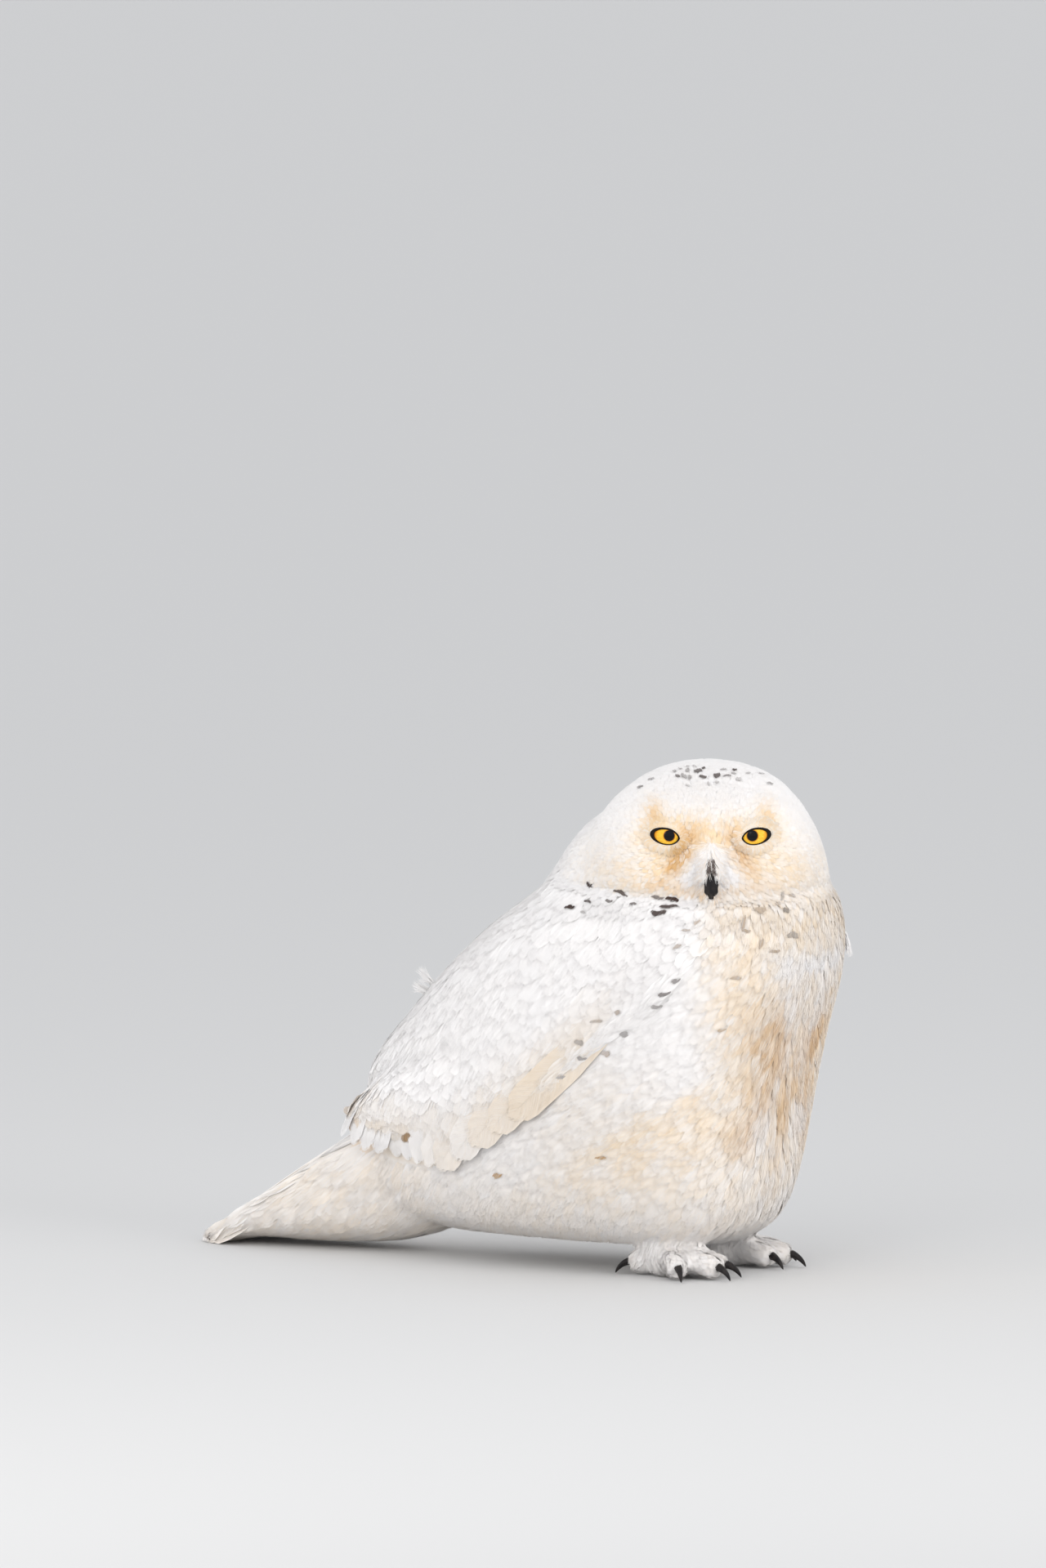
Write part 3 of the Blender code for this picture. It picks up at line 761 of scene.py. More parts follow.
class Plumes:
    """A set of feathers of like kind: their spines, and how a point of a feather lies in space."""

    def __init__(self, points, normals, half_width, patches, tints, sink=0, lift=0, arch=0.02):
        self.points, self.normals, self.patches, self.arch = points, normals, patches, arch
        self.number = len(points)
        each = (np.broadcast_to(value, self.number)[:, None] for value in (half_width, sink, lift))
        self.half_width, self.sink, self.lift = each
        self.tints, self.tone = tints, dice.random(self.number)[:, None]
        self.length = np.linalg.norm(np.diff(points, axis=1), axis=2).sum(1)[:, None]

    def at(self, u, v, rise):
        """Places for across u (-1 to 1), along v (0 to 1) and rise over the feather, each [feathers, m]."""
        s = np.clip(v, 0, 1.12) * (SPINE_STEPS - 1)
        i = np.clip(s.astype(int), 0, SPINE_STEPS - 2)
        f = (s - i)[..., None]
        row = np.arange(self.number)[:, None]
        a, b = self.points[row, i], self.points[row, i + 1]
        normal = unit(self.normals[row, i] * (1 - f) + self.normals[row, i + 1] * f)
        side = unit(np.cross(b - a, normal))
        depth = self.lift * v**2 - self.sink * (1 - np.clip(v, 0, 1)) ** 1.6
        drop = depth + rise - self.arch * 2 * self.half_width * u**2
        middle = a * (1 - f) + b * f
        places = middle + side * (u * self.half_width)[..., None] + normal * drop[..., None]
        return places, normal

    def add_to(self, bundle, u, v, rise, corners, sizes, tone=None, fleck=0):
        """One shape on every feather: corners and sizes are those of a single feather's faces."""
        marks = {key: np.reshape(value, (-1, 1)) for key, value in self.tints.items()}
        marks |= {"tone": self.tone if tone is None else tone, "along": np.clip(v, 0, 1), "fleck": fleck}
        marks = {key: np.broadcast_to(value, v.shape).ravel() for key, value in marks.items()}
        lay = np.stack([np.clip(u, -1, 1) * 0.4, np.clip(v, 0, 1) - 0.5], -1) * PATCH
        patches = (self.patches[:, None, :] + lay).reshape(-1, 2)
        all_corners = (corners + (np.arange(self.number) * v.shape[1])[:, None]).ravel()
        places, outward = (values.reshape(-1, 3) for values in self.at(u, v, rise))
        bundle.add(places, outward, all_corners, np.tile(sizes, self.number), patches, marks)


def soft_outline(v):
    """Half width of a body feather along its length, at most 1."""
    close = np.sqrt(np.clip(1 - (np.clip(v - 0.6, 0, 0.42) / 0.42) ** 2 * 0.96, 0, 1))
    return np.minimum(1, 1.25 * np.sqrt(np.clip(v, 0, 1)) + 0.12) * close


def quill_outline(v):
    """Half width of a long flight or tail feather."""
    close = np.sqrt(np.clip(1 - (np.clip(v - 0.84, 0, 0.16) / 0.16) ** 2 * 0.985, 0, 1))
    return np.minimum(1, 0.45 + 1.1 * np.clip(v, 0, 1)) * close


def add_vanes(bundle, plumes, rows=6, columns=3, reach=0.78, wide=0.95, outline=soft_outline):
    """The flat of each feather: a leaf of a few rows."""
    v = np.repeat(np.linspace(0.03, reach, rows), columns)
    u = np.tile(np.linspace(-wide, wide, columns), rows) * outline(v / reach)
    cell = np.arange((rows - 1) * (columns - 1))
    a = cell // (columns - 1) * columns + cell % (columns - 1)
    quads = np.stack([a, a + 1, a + 1 + columns, a + columns], 1).ravel()
    u, v = np.tile(u, (plumes.number, 1)), np.tile(v, (plumes.number, 1))
    plumes.add_to(bundle, u, v, 0 * v, quads, np.full(len(cell), 4))


def add_ribbons(bundle, plumes, u, v, rise, wide, tone=None, fleck=0, roll=0.06):
    """Fine pointed ribbons; u is [feathers, ribbons, stations], and v, rise and wide spread to that."""
    n, m, k = u.shape
    v, rise = v + 0 * u, rise + 0 * u
    roll = dice.normal(0, roll, (n, m, 1))
    half = plumes.half_width[..., None]
    du, dz = wide / 2 / half * np.cos(roll), wide / 2 * np.sin(roll)
    last = slice(0, k - 1)
    us = np.concatenate([(u - du)[..., last], (u + du)[..., last], u[..., -1:]], -1)
    vs = np.concatenate([v[..., last], v], -1)
    rs = np.concatenate([(rise - dz)[..., last], (rise + dz)[..., last], rise[..., -1:]], -1)
    i = np.arange(k - 2)
    strip = np.stack([i, i + k - 1, i + k, i + 1], 1).ravel()
    strip = np.concatenate([strip, [k - 2, 2 * k - 3, 2 * k - 2]])
    points = 2 * k - 1
    corners = (strip + (np.arange(m) * points)[:, None]).ravel()
    sizes = np.tile([4] * (k - 2) + [3], m)
    if tone is not None:
        tone = np.repeat(tone, points, axis=1)
    us, vs, rs = (values.reshape(n, m * points) for values in (us, vs, rs))
    plumes.add_to(bundle, us, vs, rs, corners, sizes, tone, fleck)


def add_strands(bundle, plumes, strands, fine, stand):
    """Fine strands that sweep from each feather's middle out to its edge and tip."""
    n, m = plumes.number, strands
    even = (np.arange(m) + 0.5) / m * 2 - 1
    tip_u = np.clip(even + dice.normal(0, 0.6 / m, (n, m)), -1, 1)
    tip_v = 1.05 - 0.22 * tip_u**2 - dice.random((n, m)) * 0.24
    root_v = tip_v * (0.10 + 0.42 * dice.random((n, m)))
    root_u = tip_u * (0.25 + 0.3 * dice.random((n, m)))
    tip_u = tip_u * (soft_outline(tip_v) * 0.8 + 0.2)
    s = np.linspace(0, 1, 4)
    wide = np.interp(s, [0, 0.35, 0.7, 1], [0.7, 1.0, 0.75, 0.0])
    wide = fine * wide * (0.75 + 0.5 * dice.random((n, m)))[..., None]
    bend = dice.normal(0, 0.12, (n, m))[..., None] * (s * (1 - s) * 4)
    u = root_u[..., None] + (tip_u - root_u)[..., None] * s**1.15 + bend
    v = root_v[..., None] + (tip_v - root_v)[..., None] * s
    lift = (dice.random((n, m)) * stand)[..., None] * s**2
    rise = ((0.04 + dice.random((n, m)) * 0.07) * MM)[..., None] + lift
    tone = 0.55 * plumes.tone + 0.45 * dice.random((n, m))
    add_ribbons(bundle, plumes, u, v, rise, wide, tone)


BARB_ANGLE = 0.6  # between a barb and the shaft, in radians


def add_barbs(bundle, plumes, pairs, fine):
    """Close barbs that slant from a long feather's shaft to its edge, and the shaft."""
    n, m = plumes.number, pairs * 2
    sign = np.tile([-1.0, 1.0], pairs)
    root_v = np.repeat(np.linspace(0.04, 0.96, pairs), 2) + dice.normal(0, 0.003, (n, m))
    run = plumes.half_width / plumes.length / math.tan(BARB_ANGLE)
    run = run * (1 + 0.08 * dice.normal(0, 1, (n, m)))
    s = np.linspace(0, 1, 4)
    v = np.minimum(root_v[..., None] + run[..., None] * s, 1.0)
    u = sign[:, None] * s**0.9 * quill_outline(v)
    wide = fine * np.array([0.9, 1.0, 0.8, 0.0])
    rise = 0.10 * MM + dice.random((n, m, 1)) * 0.07 * MM
    tone = 0.7 * plumes.tone + 0.3 * dice.random((n, m))
    add_ribbons(bundle, plumes, u, v, rise, wide, tone, roll=0.04)
    v, shaft = np.linspace(0.0, 0.95, 8), np.linspace(1.0, 0.25, 8) * MM
    add_ribbons(bundle, plumes, np.zeros((n, 1, 8)), v, 0.26 * MM, shaft, roll=0.02)


def grow(form, bundle, region, faces, clear_of=None):
    """Covers these triangles of the form with one kind of coat."""
    coat = COATS[region]
    places, chosen, patches = form.roots(faces, coat.spacing * MM)
    size = (0.85 + 0.3 * dice.random(len(places))) * feather_scale(places, region)
    points, normals = spines(form, places, chosen, coat.length * MM * size, swing=coat.swing)
    if clear_of is not None:
        for share in (0.6, 0.4):
            hit = np.flatnonzero(~clear_of(points))
            lengths = coat.length * MM * size[hit] * share
            points[hit], normals[hit] = spines(form, places[hit], chosen[hit], lengths, swing=coat.swing)
            size[hit] = np.maximum(size[hit] * 0.8, 0.45)
        keep = clear_of(points)
        places, patches, size = places[keep], patches[keep], size[keep]
        points, normals = points[keep], normals[keep]
    lift = (0.1 + 0.5 * dice.random(len(places))) * coat.stand * 0.5 * MM
    half = coat.width * MM * np.sqrt(size) / 2
    sink = np.minimum(coat.depth * MM, np.linalg.norm(points[:, -1] - points[:, 0], axis=1) * 0.2)
    plumes = Plumes(points, normals, half, patches, tints_at(points[:, 4]), sink, lift)
    add_vanes(bundle, plumes, reach=coat.vane)
    add_strands(bundle, plumes, coat.strands, coat.fine * MM, coat.stand * MM)


def feather_scale(places, region):
    """How long the feathers of a region are here, against the table's length."""
    _, rear, high = body_place(places)
    across, up, _ = face_place(places)
    if region == "wing":
        return np.interp(rear, [-50, 40, 180, 270], [0.55, 0.9, 1.2, 1.2])
    if region == "mantle":
        return np.interp(rear, [30, 200], [0.7, 1.2])
    if region == "ruff":
        return np.interp(up, [-60, -38], [1.1, 0.7])
    if region == "breast":
        return np.interp(high, [200, 265], [1.0, 0.75])
    if region == "face":
        side = np.abs(across)
        nearest_eye = np.hypot(side - EYE_APART / MM, up)
        return np.interp(nearest_eye, [9, 24], [0.7, 1.0]) * np.interp(side, [20, 60], [0.95, 1.25])
    return np.ones(len(places))


# --- eyes, lids, bill and claws ---------------------------------------------------------------------
# An eye's opening and the dark rim round it, in millimetres: reach outwards (away from the bill),
# inwards, up and down from its middle, which lies a little outside the eyeball's.
OPENING_MIDDLE, OPENING_TILT = 0.9, 0.12
OPENING = (8.3, 8.4, 4.9, 5.0)
RIM = (10.9, 9.5, 6.3, 5.7)
LID = (13.2, 12.0, 8.8, 8.4)
SOCKET = (15.0, 14.0, 13.0, 13.0)
BALL_KEPT = 10.2 * MM  # the rest of the eyeball is kept in behind the lids


def almond(reach, angles, grow_by=0.0):
    """An eye opening's outline: outwards and up from the eyeball's middle, for each angle."""
    out, inward, over, under = (r + grow_by for r in reach)
    c, s = np.cos(angles), np.sin(angles)
    point = np.where(c < 0, 1.35, np.where(s > 0, 0.95, 1.12))
    x = np.where(c > 0, out, inward) * np.sign(c) * np.abs(c) ** 0.92
    y = np.where(s > 0, over, under) * np.sign(s) * np.abs(s) ** point
    return x + OPENING_MIDDLE, y + OPENING_TILT * x


def clear_of_eyes(points):
    """Which feathers keep off both eyes' openings and the bare bill."""
    across, up, ahead = face_place(points)
    keep = np.ones(len(points), bool)
    out, inward, over, under = (r + 0.2 for r in RIM)
    for sign in SIDES.values():
        x = sign * across - EYE_APART / MM - OPENING_MIDDLE
        y = up - OPENING_TILT * x
        x = np.abs(x / np.where(x > 0, out, inward))
        y = np.abs(y / np.where(y > 0, over, under))
        keep &= (x**2.1 + y**2 > 1).all(1)
    bare = np.interp(up, [-42.6, -41.4, -38, -30, -24, -19, -16], [0, 3.0, 5.2, 6.4, 6.4, 4.5, 0])
    bill = (np.abs(across) < bare) & (ahead > 18)
    return keep & ~bill[:, 2:].any(1)


def looking(sign):
    """The way one eye looks: a little inward and up."""
    return (FACING - ACROSS * sign * math.sin(math.radians(5)) + UP * 0.055).normalized()


def eye_paint(side):
    """Amber iris, round black pupil and a dark ring, about the way the eye looks."""
    turn = looking(SIDES[side]).to_track_quat("Z", "Y").to_matrix().transposed()
    shift = -(turn @ EYE[side])
    cornea = {"Coat_Weight": 1.0, "Coat_Roughness": 0.02, "Coat_IOR": 1.25}
    paint = Paint("eye_" + side, Roughness=0.3, Specular_IOR_Level=0.05, **cornea)
    x, y, _ = paint.parts(paint.mapped(tuple(shift), tuple(turn.to_euler())))
    radius = (x * x + y * y) ** 0.5
    mm = radius / MM
    spoke = paint.joined(x / (radius + 1e-5), y / (radius + 1e-5), mm * 0.05)
    fibre = paint.noise(spoke, 9.0, 4.0)
    amber = paint.mix((0.88, 0.44, 0.028), (0.94, 0.60, 0.070), fibre.step(0.3, 0.7))
    amber = paint.mix(amber, (0.70, 0.24, 0.012), mm.step(7.0, 9.6) * 0.8)
    colour = paint.mix(amber, (0.02, 0.012, 0.008), mm.step(9.2, 10.3))
    colour = paint.mix(colour, (0.45, 0.16, 0.01), 1 - mm.step(3.7, 4.6))
    colour = paint.mix(colour, (0.004, 0.004, 0.005), 1 - mm.step(3.5, 3.8))
    paint.feed("Base Color", colour)
    return paint.material


def eyeball(side):
    """A ball whose clear front swells a little."""
    turn = looking(SIDES[side]).to_track_quat("Z", "Y").to_euler()
    bpy.ops.object.select_all(action="DESELECT")
    bpy.ops.mesh.primitive_uv_sphere_add(
        segments=64, ring_count=40, radius=EYE_RADIUS, location=EYE[side], rotation=turn
    )
    ball = bpy.context.object
    ball.name = "eyeball_" + side
    for vertex in ball.data.vertices:
        flat = math.hypot(vertex.co.x, vertex.co.y)
        if flat > BALL_KEPT:
            vertex.co.x *= BALL_KEPT / flat
            vertex.co.y *= BALL_KEPT / flat
        if vertex.co.z > 0:
            vertex.co.z += 0.7 * MM * math.exp(-((flat / (6 * MM)) ** 4))
    bpy.ops.object.transform_apply(location=True, rotation=True, scale=True)
    ball.data.shade_smooth()
    ball.data.materials.append(eye_paint(side))
    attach(ball, "root")
    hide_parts("eye_" + side)


def ring_skin(name, rings):
    """A skin over a row of rings, each of the same number of points."""
    columns = len(rings[0])
    starts = np.arange(len(rings) - 1)[:, None] * columns
    here, over = starts + np.arange(columns), starts + (np.arange(columns) + 1) % columns
    faces = np.stack([here, over, over + columns, here + columns], -1).reshape(-1, 4)
    mesh = bpy.data.meshes.new(name)
    mesh.from_pydata(np.concatenate(rings).tolist(), [], faces.tolist())
    obj = put_in_scene(name, mesh)
    edit_all(obj, (bpy.ops.mesh.normals_make_consistent, {"inside": False}))
    mesh.shade_smooth()
    return obj


# The rings that rim and lid run through: outline, how far past it, and how far over the eyeball.
RIM_ROWS = (
    (OPENING, -0.3, 0.0), (OPENING, 0.0, 0.75), (OPENING, 0.35, 1.15), (RIM, -0.55, 1.15), (RIM, 0.0, 0.6),
    (RIM, 0.1, -0.6),
)
LID_ROWS = (
    (RIM, -0.2, 0.5), (RIM, 0.1, 1.15), (RIM, 0.8, 1.35), (LID, -0.4, 0.8), (LID, 0.3, 0.9),
    (SOCKET, 0, -0.5), (SOCKET, 0.3, -3.0),
)


def lids(side, rim_paint, lid_paint):
    """The dark rim of the eye and the pale lid that runs from it in under the feathers."""
    angles = np.linspace(0, 2 * np.pi, 72, endpoint=False)

    def ring(reach, grow_by, over_ball):
        out, up = almond(reach, angles, grow_by)
        radius = EYE_RADIUS / MM + over_ball
        ahead = np.sqrt(np.clip(radius**2 - out**2 - up**2, 4, None))
        offset = np.stack([SIDES[side] * out, up, ahead], 1) * MM
        return arr(EYE[side]) + offset @ np.array([arr(ACROSS), arr(UP), arr(FACING)])

    rim = ring_skin("eye_rim_" + side, [ring(*row) for row in RIM_ROWS])
    lid = ring_skin("eyelid_" + side, [ring(*row) for row in LID_ROWS])
    for piece, slot, paint in ((rim, "horn", rim_paint), (lid, "plumage", lid_paint)):
        piece.data.materials.append(paint)
        modify(piece, "SUBSURF", levels=1, render_levels=1)
        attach(piece, "root")
    return rim, lid


RIM_DARK, RIM_LIGHT = (0.004, 0.003, 0.003), (0.016, 0.012, 0.011)
LID_DARK, LID_LIGHT = (0.62, 0.55, 0.46), (0.82, 0.76, 0.68)


def wrinkled_paint(name, low, high, scale, depth, strength, **constants):
    paint = Paint(name, **constants)
    wrinkle = paint.noise(paint.place(), scale, 3.0)
    paint.feed("Base Color", paint.mix(low, high, wrinkle))
    paint.bump(wrinkle, depth * MM, strength)
    return paint.material


def horn_paint():
    paint = Paint("horn", Specular_IOR_Level=0.25, Coat_Weight=0.10, Coat_Roughness=0.2)
    grain = paint.noise(paint.mapped((0, 0, 0), (0, 0, 0), (260, 260, 60)), 1.0, 4.0)
    cloud = paint.noise(paint.place(), 160.0, 2.0)
    pale = (grain * 0.7 + cloud * 0.5).step(0.4, 0.9)
    colour = paint.mix((0.006, 0.005, 0.006), (0.030, 0.024, 0.022), pale)
    paint.feed("Base Color", colour)
    paint.feed("Roughness", 0.32 + grain * 0.3)
    paint.bump(grain, 0.12 * MM, 0.5)
    return paint.material


def horny_parts(paint):
    """Bill and claws: smoother copies of their solids; the bill's root is drawn in under the bristles."""
    claws = ["claw_" + side + "_" + toe for side in SIDES for toe in TOES]
    for node in ["upper_bill", "lower_bill"] + claws:
        piece = merged_copy(node, node + "_finished")
        modify(piece, "SUBSURF", levels=2, render_levels=2)
        if node == "upper_bill":
            places, _, _ = numbers(piece)
            across, up, _ = face_place(places)
            back = 7 * smoothstep(-21, -10, up) + 2.5 * smoothstep(-36, -43, up)
            broad = np.interp(up, [-43, -40, -37, -34, -30, -25], [2.2, 1.5, 1.5, 1.1, 0.9, 0.85])
            raised = 1.4 * smoothstep(-30, -43, up)
            moves = np.stack([across * (broad - 1), raised, -back], 1) * MM
            places += moves @ np.array([arr(ACROSS), arr(UP), arr(FACING)])
            piece.data.vertices.foreach_set("co", places.ravel())
            piece.data.update()
        piece.data.shade_smooth()
        piece.data.materials.append(paint)
        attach(piece, "root")
        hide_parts(node)


# --- special feathers ------------------------------------------------------------------------------
# Dark marks, in millimetres across and up from the middle between the eyes as seen from ahead of the
# face, how wide and tall, and how dark.
FLECKS = (
    (-82, -35, 7.5, 3.2, 1.0), (-94, -51, 5.0, 3.6, 1.0), (-86, -52.5, 3.0, 1.8, 0.5),
    (-80.5, -48, 4.8, 2.2, 0.9), (-66, -47.5, 4.2, 2.2, 0.8), (-61, -40, 5.0, 3.0, 0.9),
    (-57.5, -42.5, 5.5, 2.4, 0.9), (-50, -49, 3.4, 2.0, 0.8), (-36, -42.5, 6.0, 3.2, 0.8),
    (-26.5, -43.5, 7.5, 3.6, 1.0), (-30.5, -48, 7.5, 3.2, 0.95), (-37, -53, 7.5, 4.2, 0.95),
    (-20, -62, 3.6, 2.0, 0.40), (-15.5, -56, 2.4, 3.0, 0.35), (-23.5, -75, 2.4, 5.0, 0.40),
    (-25, -98, 3.6, 4.2, 0.65), (-32.5, -107, 5.0, 4.2, 0.75), (-38, -115, 5.0, 3.6, 0.60),
    (-63, -120, 3.0, 4.0, 0.45), (-77, -126, 5.5, 3.0, 0.40), (-59, -134, 4.5, 5.0, 0.60),
    (-89, -140, 5.5, 4.2, 0.50), (-71, -147.5, 4.6, 5.0, 0.42), (-87, -151, 4.6, 3.6, 0.60),
    (-100, -164, 4.6, 3.6, 0.50), (6, -131, 3.4, 2.8, 0.40), (16, -96, 5.5, 2.6, 0.42),
    (44, -44.5, 6.0, 2.6, 0.50), (44.5, -52.5, 4.0, 3.6, 0.65), (50, -46, 2.0, 4.0, 0.45),
    (38, -49, 4.0, 2.4, 0.35), (55, -68, 7.5, 4.0, 0.50), (21, -60, 2.2, 9.0, 0.40),
    (24, -65, 5.5, 2.0, 0.42), (26.5, -52, 6.5, 4.0, 0.40), (31, -73, 2.4, 6.0, 0.40),
    (39.5, -77.5, 7.0, 2.0, 0.45),
    (-205, -208, 9.0, 8.0, 0.45), (-144, -232, 5.0, 5.0, 0.35), (-74, -218, 4.0, 4.0, 0.35),
)
CROWN = (
    (-8.0, 43.6, 5.6, 1.9, 0.85), (-4.6, 45.2, 2.2, 1.1, 0.95), (-5.1, 39.4, 4.8, 1.8, 0.90),
    (4.8, 40.4, 4.6, 2.8, 0.90), (11.4, 40.2, 5.6, 1.0, 0.70), (16.9, 44.0, 2.6, 1.4, 0.95),
    (16.0, 41.8, 3.0, 0.9, 0.50), (9.3, 44.4, 4.0, 0.9, 0.40), (-21.9, 40.0, 2.4, 1.6, 0.80),
    (-24.1, 43.2, 2.2, 1.4, 0.50), (-20.1, 44.8, 2.2, 0.9, 0.40), (-15.3, 44.0, 2.8, 2.0, 0.55),
    (-17.9, 40.0, 2.6, 2.8, 0.55), (-14.2, 38.9, 2.2, 2.2, 0.60), (-15.7, 33.5, 2.2, 1.4, 0.35),
    (-1.4, 35.0, 1.4, 2.0, 0.45), (4.5, 35.8, 2.8, 1.4, 0.40), (19.5, 37.9, 3.0, 2.0, 0.35),
    (-15.0, 46.5, 1.8, 0.9, 0.40), (-10.6, 46.5, 2.2, 0.9, 0.40), (26.1, 41.8, 2.6, 0.9, 0.40),
    (34.9, 41.6, 3.2, 1.0, 0.40), (41.0, 34.8, 3.4, 1.0, 0.60), (-39.9, 38.0, 4.0, 1.0, 0.45),
    (-47.4, 32.6, 3.4, 1.4, 0.60),
)
CROWN_FROM = 20  # millimetres over the eyes
RUSTY_UNDER = 0.46
CAMERA_RISE = math.radians(4.5)
BACK = FACING * math.cos(CAMERA_RISE) + UP * math.sin(CAMERA_RISE)  # from the owl to the camera
PICTURE_UP = UP * math.cos(CAMERA_RISE) - FACING * math.sin(CAMERA_RISE)


MIDDLE = np.array([AXIS.x, AXIS.y, 0])  # of the body, on the floor


def seen_from_ahead(across, up, toward=BACK, rise=PICTURE_UP):
    """Places half a metre out from the owl, for lines that run in towards it."""
    flat = np.outer(across, arr(ACROSS)) + np.outer(up, arr(rise))
    return arr(BETWEEN_EYES) + flat * MM + arr(toward) * 0.5


def marks_on(form):
    """Every dark mark's place, its triangle and its row of the table, on both sides of the body."""
    table = np.array(CROWN + FLECKS)
    met, spots, faces = form.struck(seen_from_ahead(table[:, 0], table[:, 1]), -BACK)
    table = table[met]
    body = table[:, 1] < -42
    scatter = dice.normal(0, 2.5 * MM, (body.sum(), 3))
    mirrored, mirrored_faces = form.settle(spots[body] * np.array([-1, 1, 1]) + scatter)
    hidden = form.normal[mirrored_faces] @ arr(BACK) < -0.2
    spots = np.concatenate([spots, mirrored[hidden]])
    faces = np.concatenate([faces, mirrored_faces[hidden]])
    return spots, faces, np.concatenate([table, table[body][hidden]])


def fleck_feathers(form, bundle, marks):
    """A feather with a dark bar near its tip for each mark."""
    for spot, face, (_, high_up, wide, tall, dark) in zip(*marks):
        crown = high_up > CROWN_FROM
        length = (13 if crown else 22) * MM
        line, _ = spines(form, spot[None], np.array([face]), length * 0.8, swing=0.0, upstream=True)
        root, root_face = form.settle(line[:, -1])
        points, normals = spines(form, root, root_face, length, swing=0.03)
        # the bar is widened and levelled to look as the table says from ahead
        side = np.cross(form.way[face], form.normal[face])
        seen = 1 if crown else math.sqrt(max(1 - (side @ arr(BACK)) ** 2, 0.25))
        run = form.way[face] @ arr(PICTURE_UP)
        level = side @ arr(PICTURE_UP) / math.copysign(max(abs(run), 0.3), run)
        half = wide * 0.60 * MM / seen
        tints = tints_at(points[:, 4])
        if dark < RUSTY_UNDER and not crown:  # pale marks are rusty, those low on the body most
            tints["gold"] = tints["gold"] + (0.9 if high_up < -200 else 0.3)
        patch = form.patches_at(root_face)
        plumes = Plumes(points, normals, half, patch, tints, sink=0.15 * MM, lift=0.15 * MM)
        count = int(wide / seen / 0.20) + 4
        even = np.linspace(-0.8, 0.8, count)
        lean, wave = dice.normal(0, 0.12), dice.uniform(0, 6)
        tall = tall * MM / length / 2 / (max(abs(run), 0.4) if crown else 1)
        bow = 0.78 - 0.35 * tall * even**2 + tall * (lean * even * 4 + 0.3 * np.sin(even * 4 + wave))
        bow -= np.clip(level, -0.9, 0.9) * half / length * even
        reach = tall * np.sqrt(1.05 - even**2) * dice.uniform(0.8, 1.2, (1, count))
        s = np.linspace(-1, 1, 4)
        v = bow[:, None] + reach[..., None] * s
        u = (even + dice.normal(0, 0.05, (1, count)))[..., None] * (1 + 0.05 * s)
        rise = (0.30 + 0.30 * dice.random((1, count, 1))) * MM
        thick = 0.50 * MM * np.array([0.7, 1, 0.9, 0])
        add_ribbons(bundle, plumes, u, v, rise, thick, dice.random((1, count)), dark)


# Flight feathers that show below the coverts, from the folded wing's lower edge to its tip: where each
# tip lies (rearward, height), length and width in millimetres.
FLIGHT = (
    (100, 105, 128, 26), (118, 95, 112, 26), (136, 84.5, 104, 27), (153, 75, 100, 27),
    (170, 66, 98, 27), (184, 68.5, 98, 23), (196, 69.5, 98, 20), (207, 70.5, 100, 20),
    (217, 71.5, 100, 18), (231, 73.5, 104, 18), (244, 75, 108, 18), (254, 78.5, 112, 17),
    (264, 83, 116, 17), (272, 90, 120, 17),
)
PAST_EDGE = 11  # millimetres of each feather that stand free of the wing


def coverts_only(points):
    """Which wing coverts end above the bare tips of the flight feathers."""
    _, rear, high = body_place(points[:, -1])
    show = np.interp(rear, [-60, 60, 96, 120, 175, 260], [-18, -12, -4, 0, 8, 13])
    return high > wing_edge(rear) + show


def flight_feathers(form, bundle):
    for sign in SIDES.values():
        for order, (rear, high, length, wide) in enumerate(FLIGHT):
            tip = MIDDLE + np.array([sign * 300, rear - 6, high + 9]) * MM
            met, spot, face = form.struck(tip[None], Vector((-sign, 0, 0)))
            if not len(met):
                continue
            line, out = spines(form, spot, face, (length - PAST_EDGE) * MM, swing=0.0, upstream=True)
            line, normals = line[:, ::-1], out[:, ::-1]
            # straighten the last stretch on past the edge
            grow_to = line[:, -1] + unit(line[:, -1] - line[:, -2]) * PAST_EDGE * MM
            steps = np.linspace(0, 1, SPINE_STEPS)
            whole = np.concatenate([line[0], grow_to])
            run = np.concatenate([[0], np.cumsum(np.linalg.norm(np.diff(whole, axis=0), axis=1))])
            points = np.stack([np.interp(steps * run[-1], run, whole[:, k]) for k in range(3)], 1)[None]
            patch, tints = form.patches_near(points[:, 0]), tints_at(points[:, 3])
            lift = (0.8 - 0.04 * order) * MM
            plumes = Plumes(points, normals, wide * MM / 2, patch, tints, 3.5 * MM, lift)
            add_vanes(bundle, plumes, rows=14, columns=5, reach=0.985, wide=1, outline=quill_outline)
            add_barbs(bundle, plumes, 84, 0.6 * MM)


# Tail feathers of one side, from the middle outwards: how far out at the root and at the tip and how
# far back the tip lies, in millimetres. Each lies a little under the one before.
TAIL = ((3, 5, 397), (8, 12, 397), (13, 19, 396), (18, 26, 394), (23, 32, 390), (28, 36, 384))
TAIL_ROOT = 246  # millimetres rearward


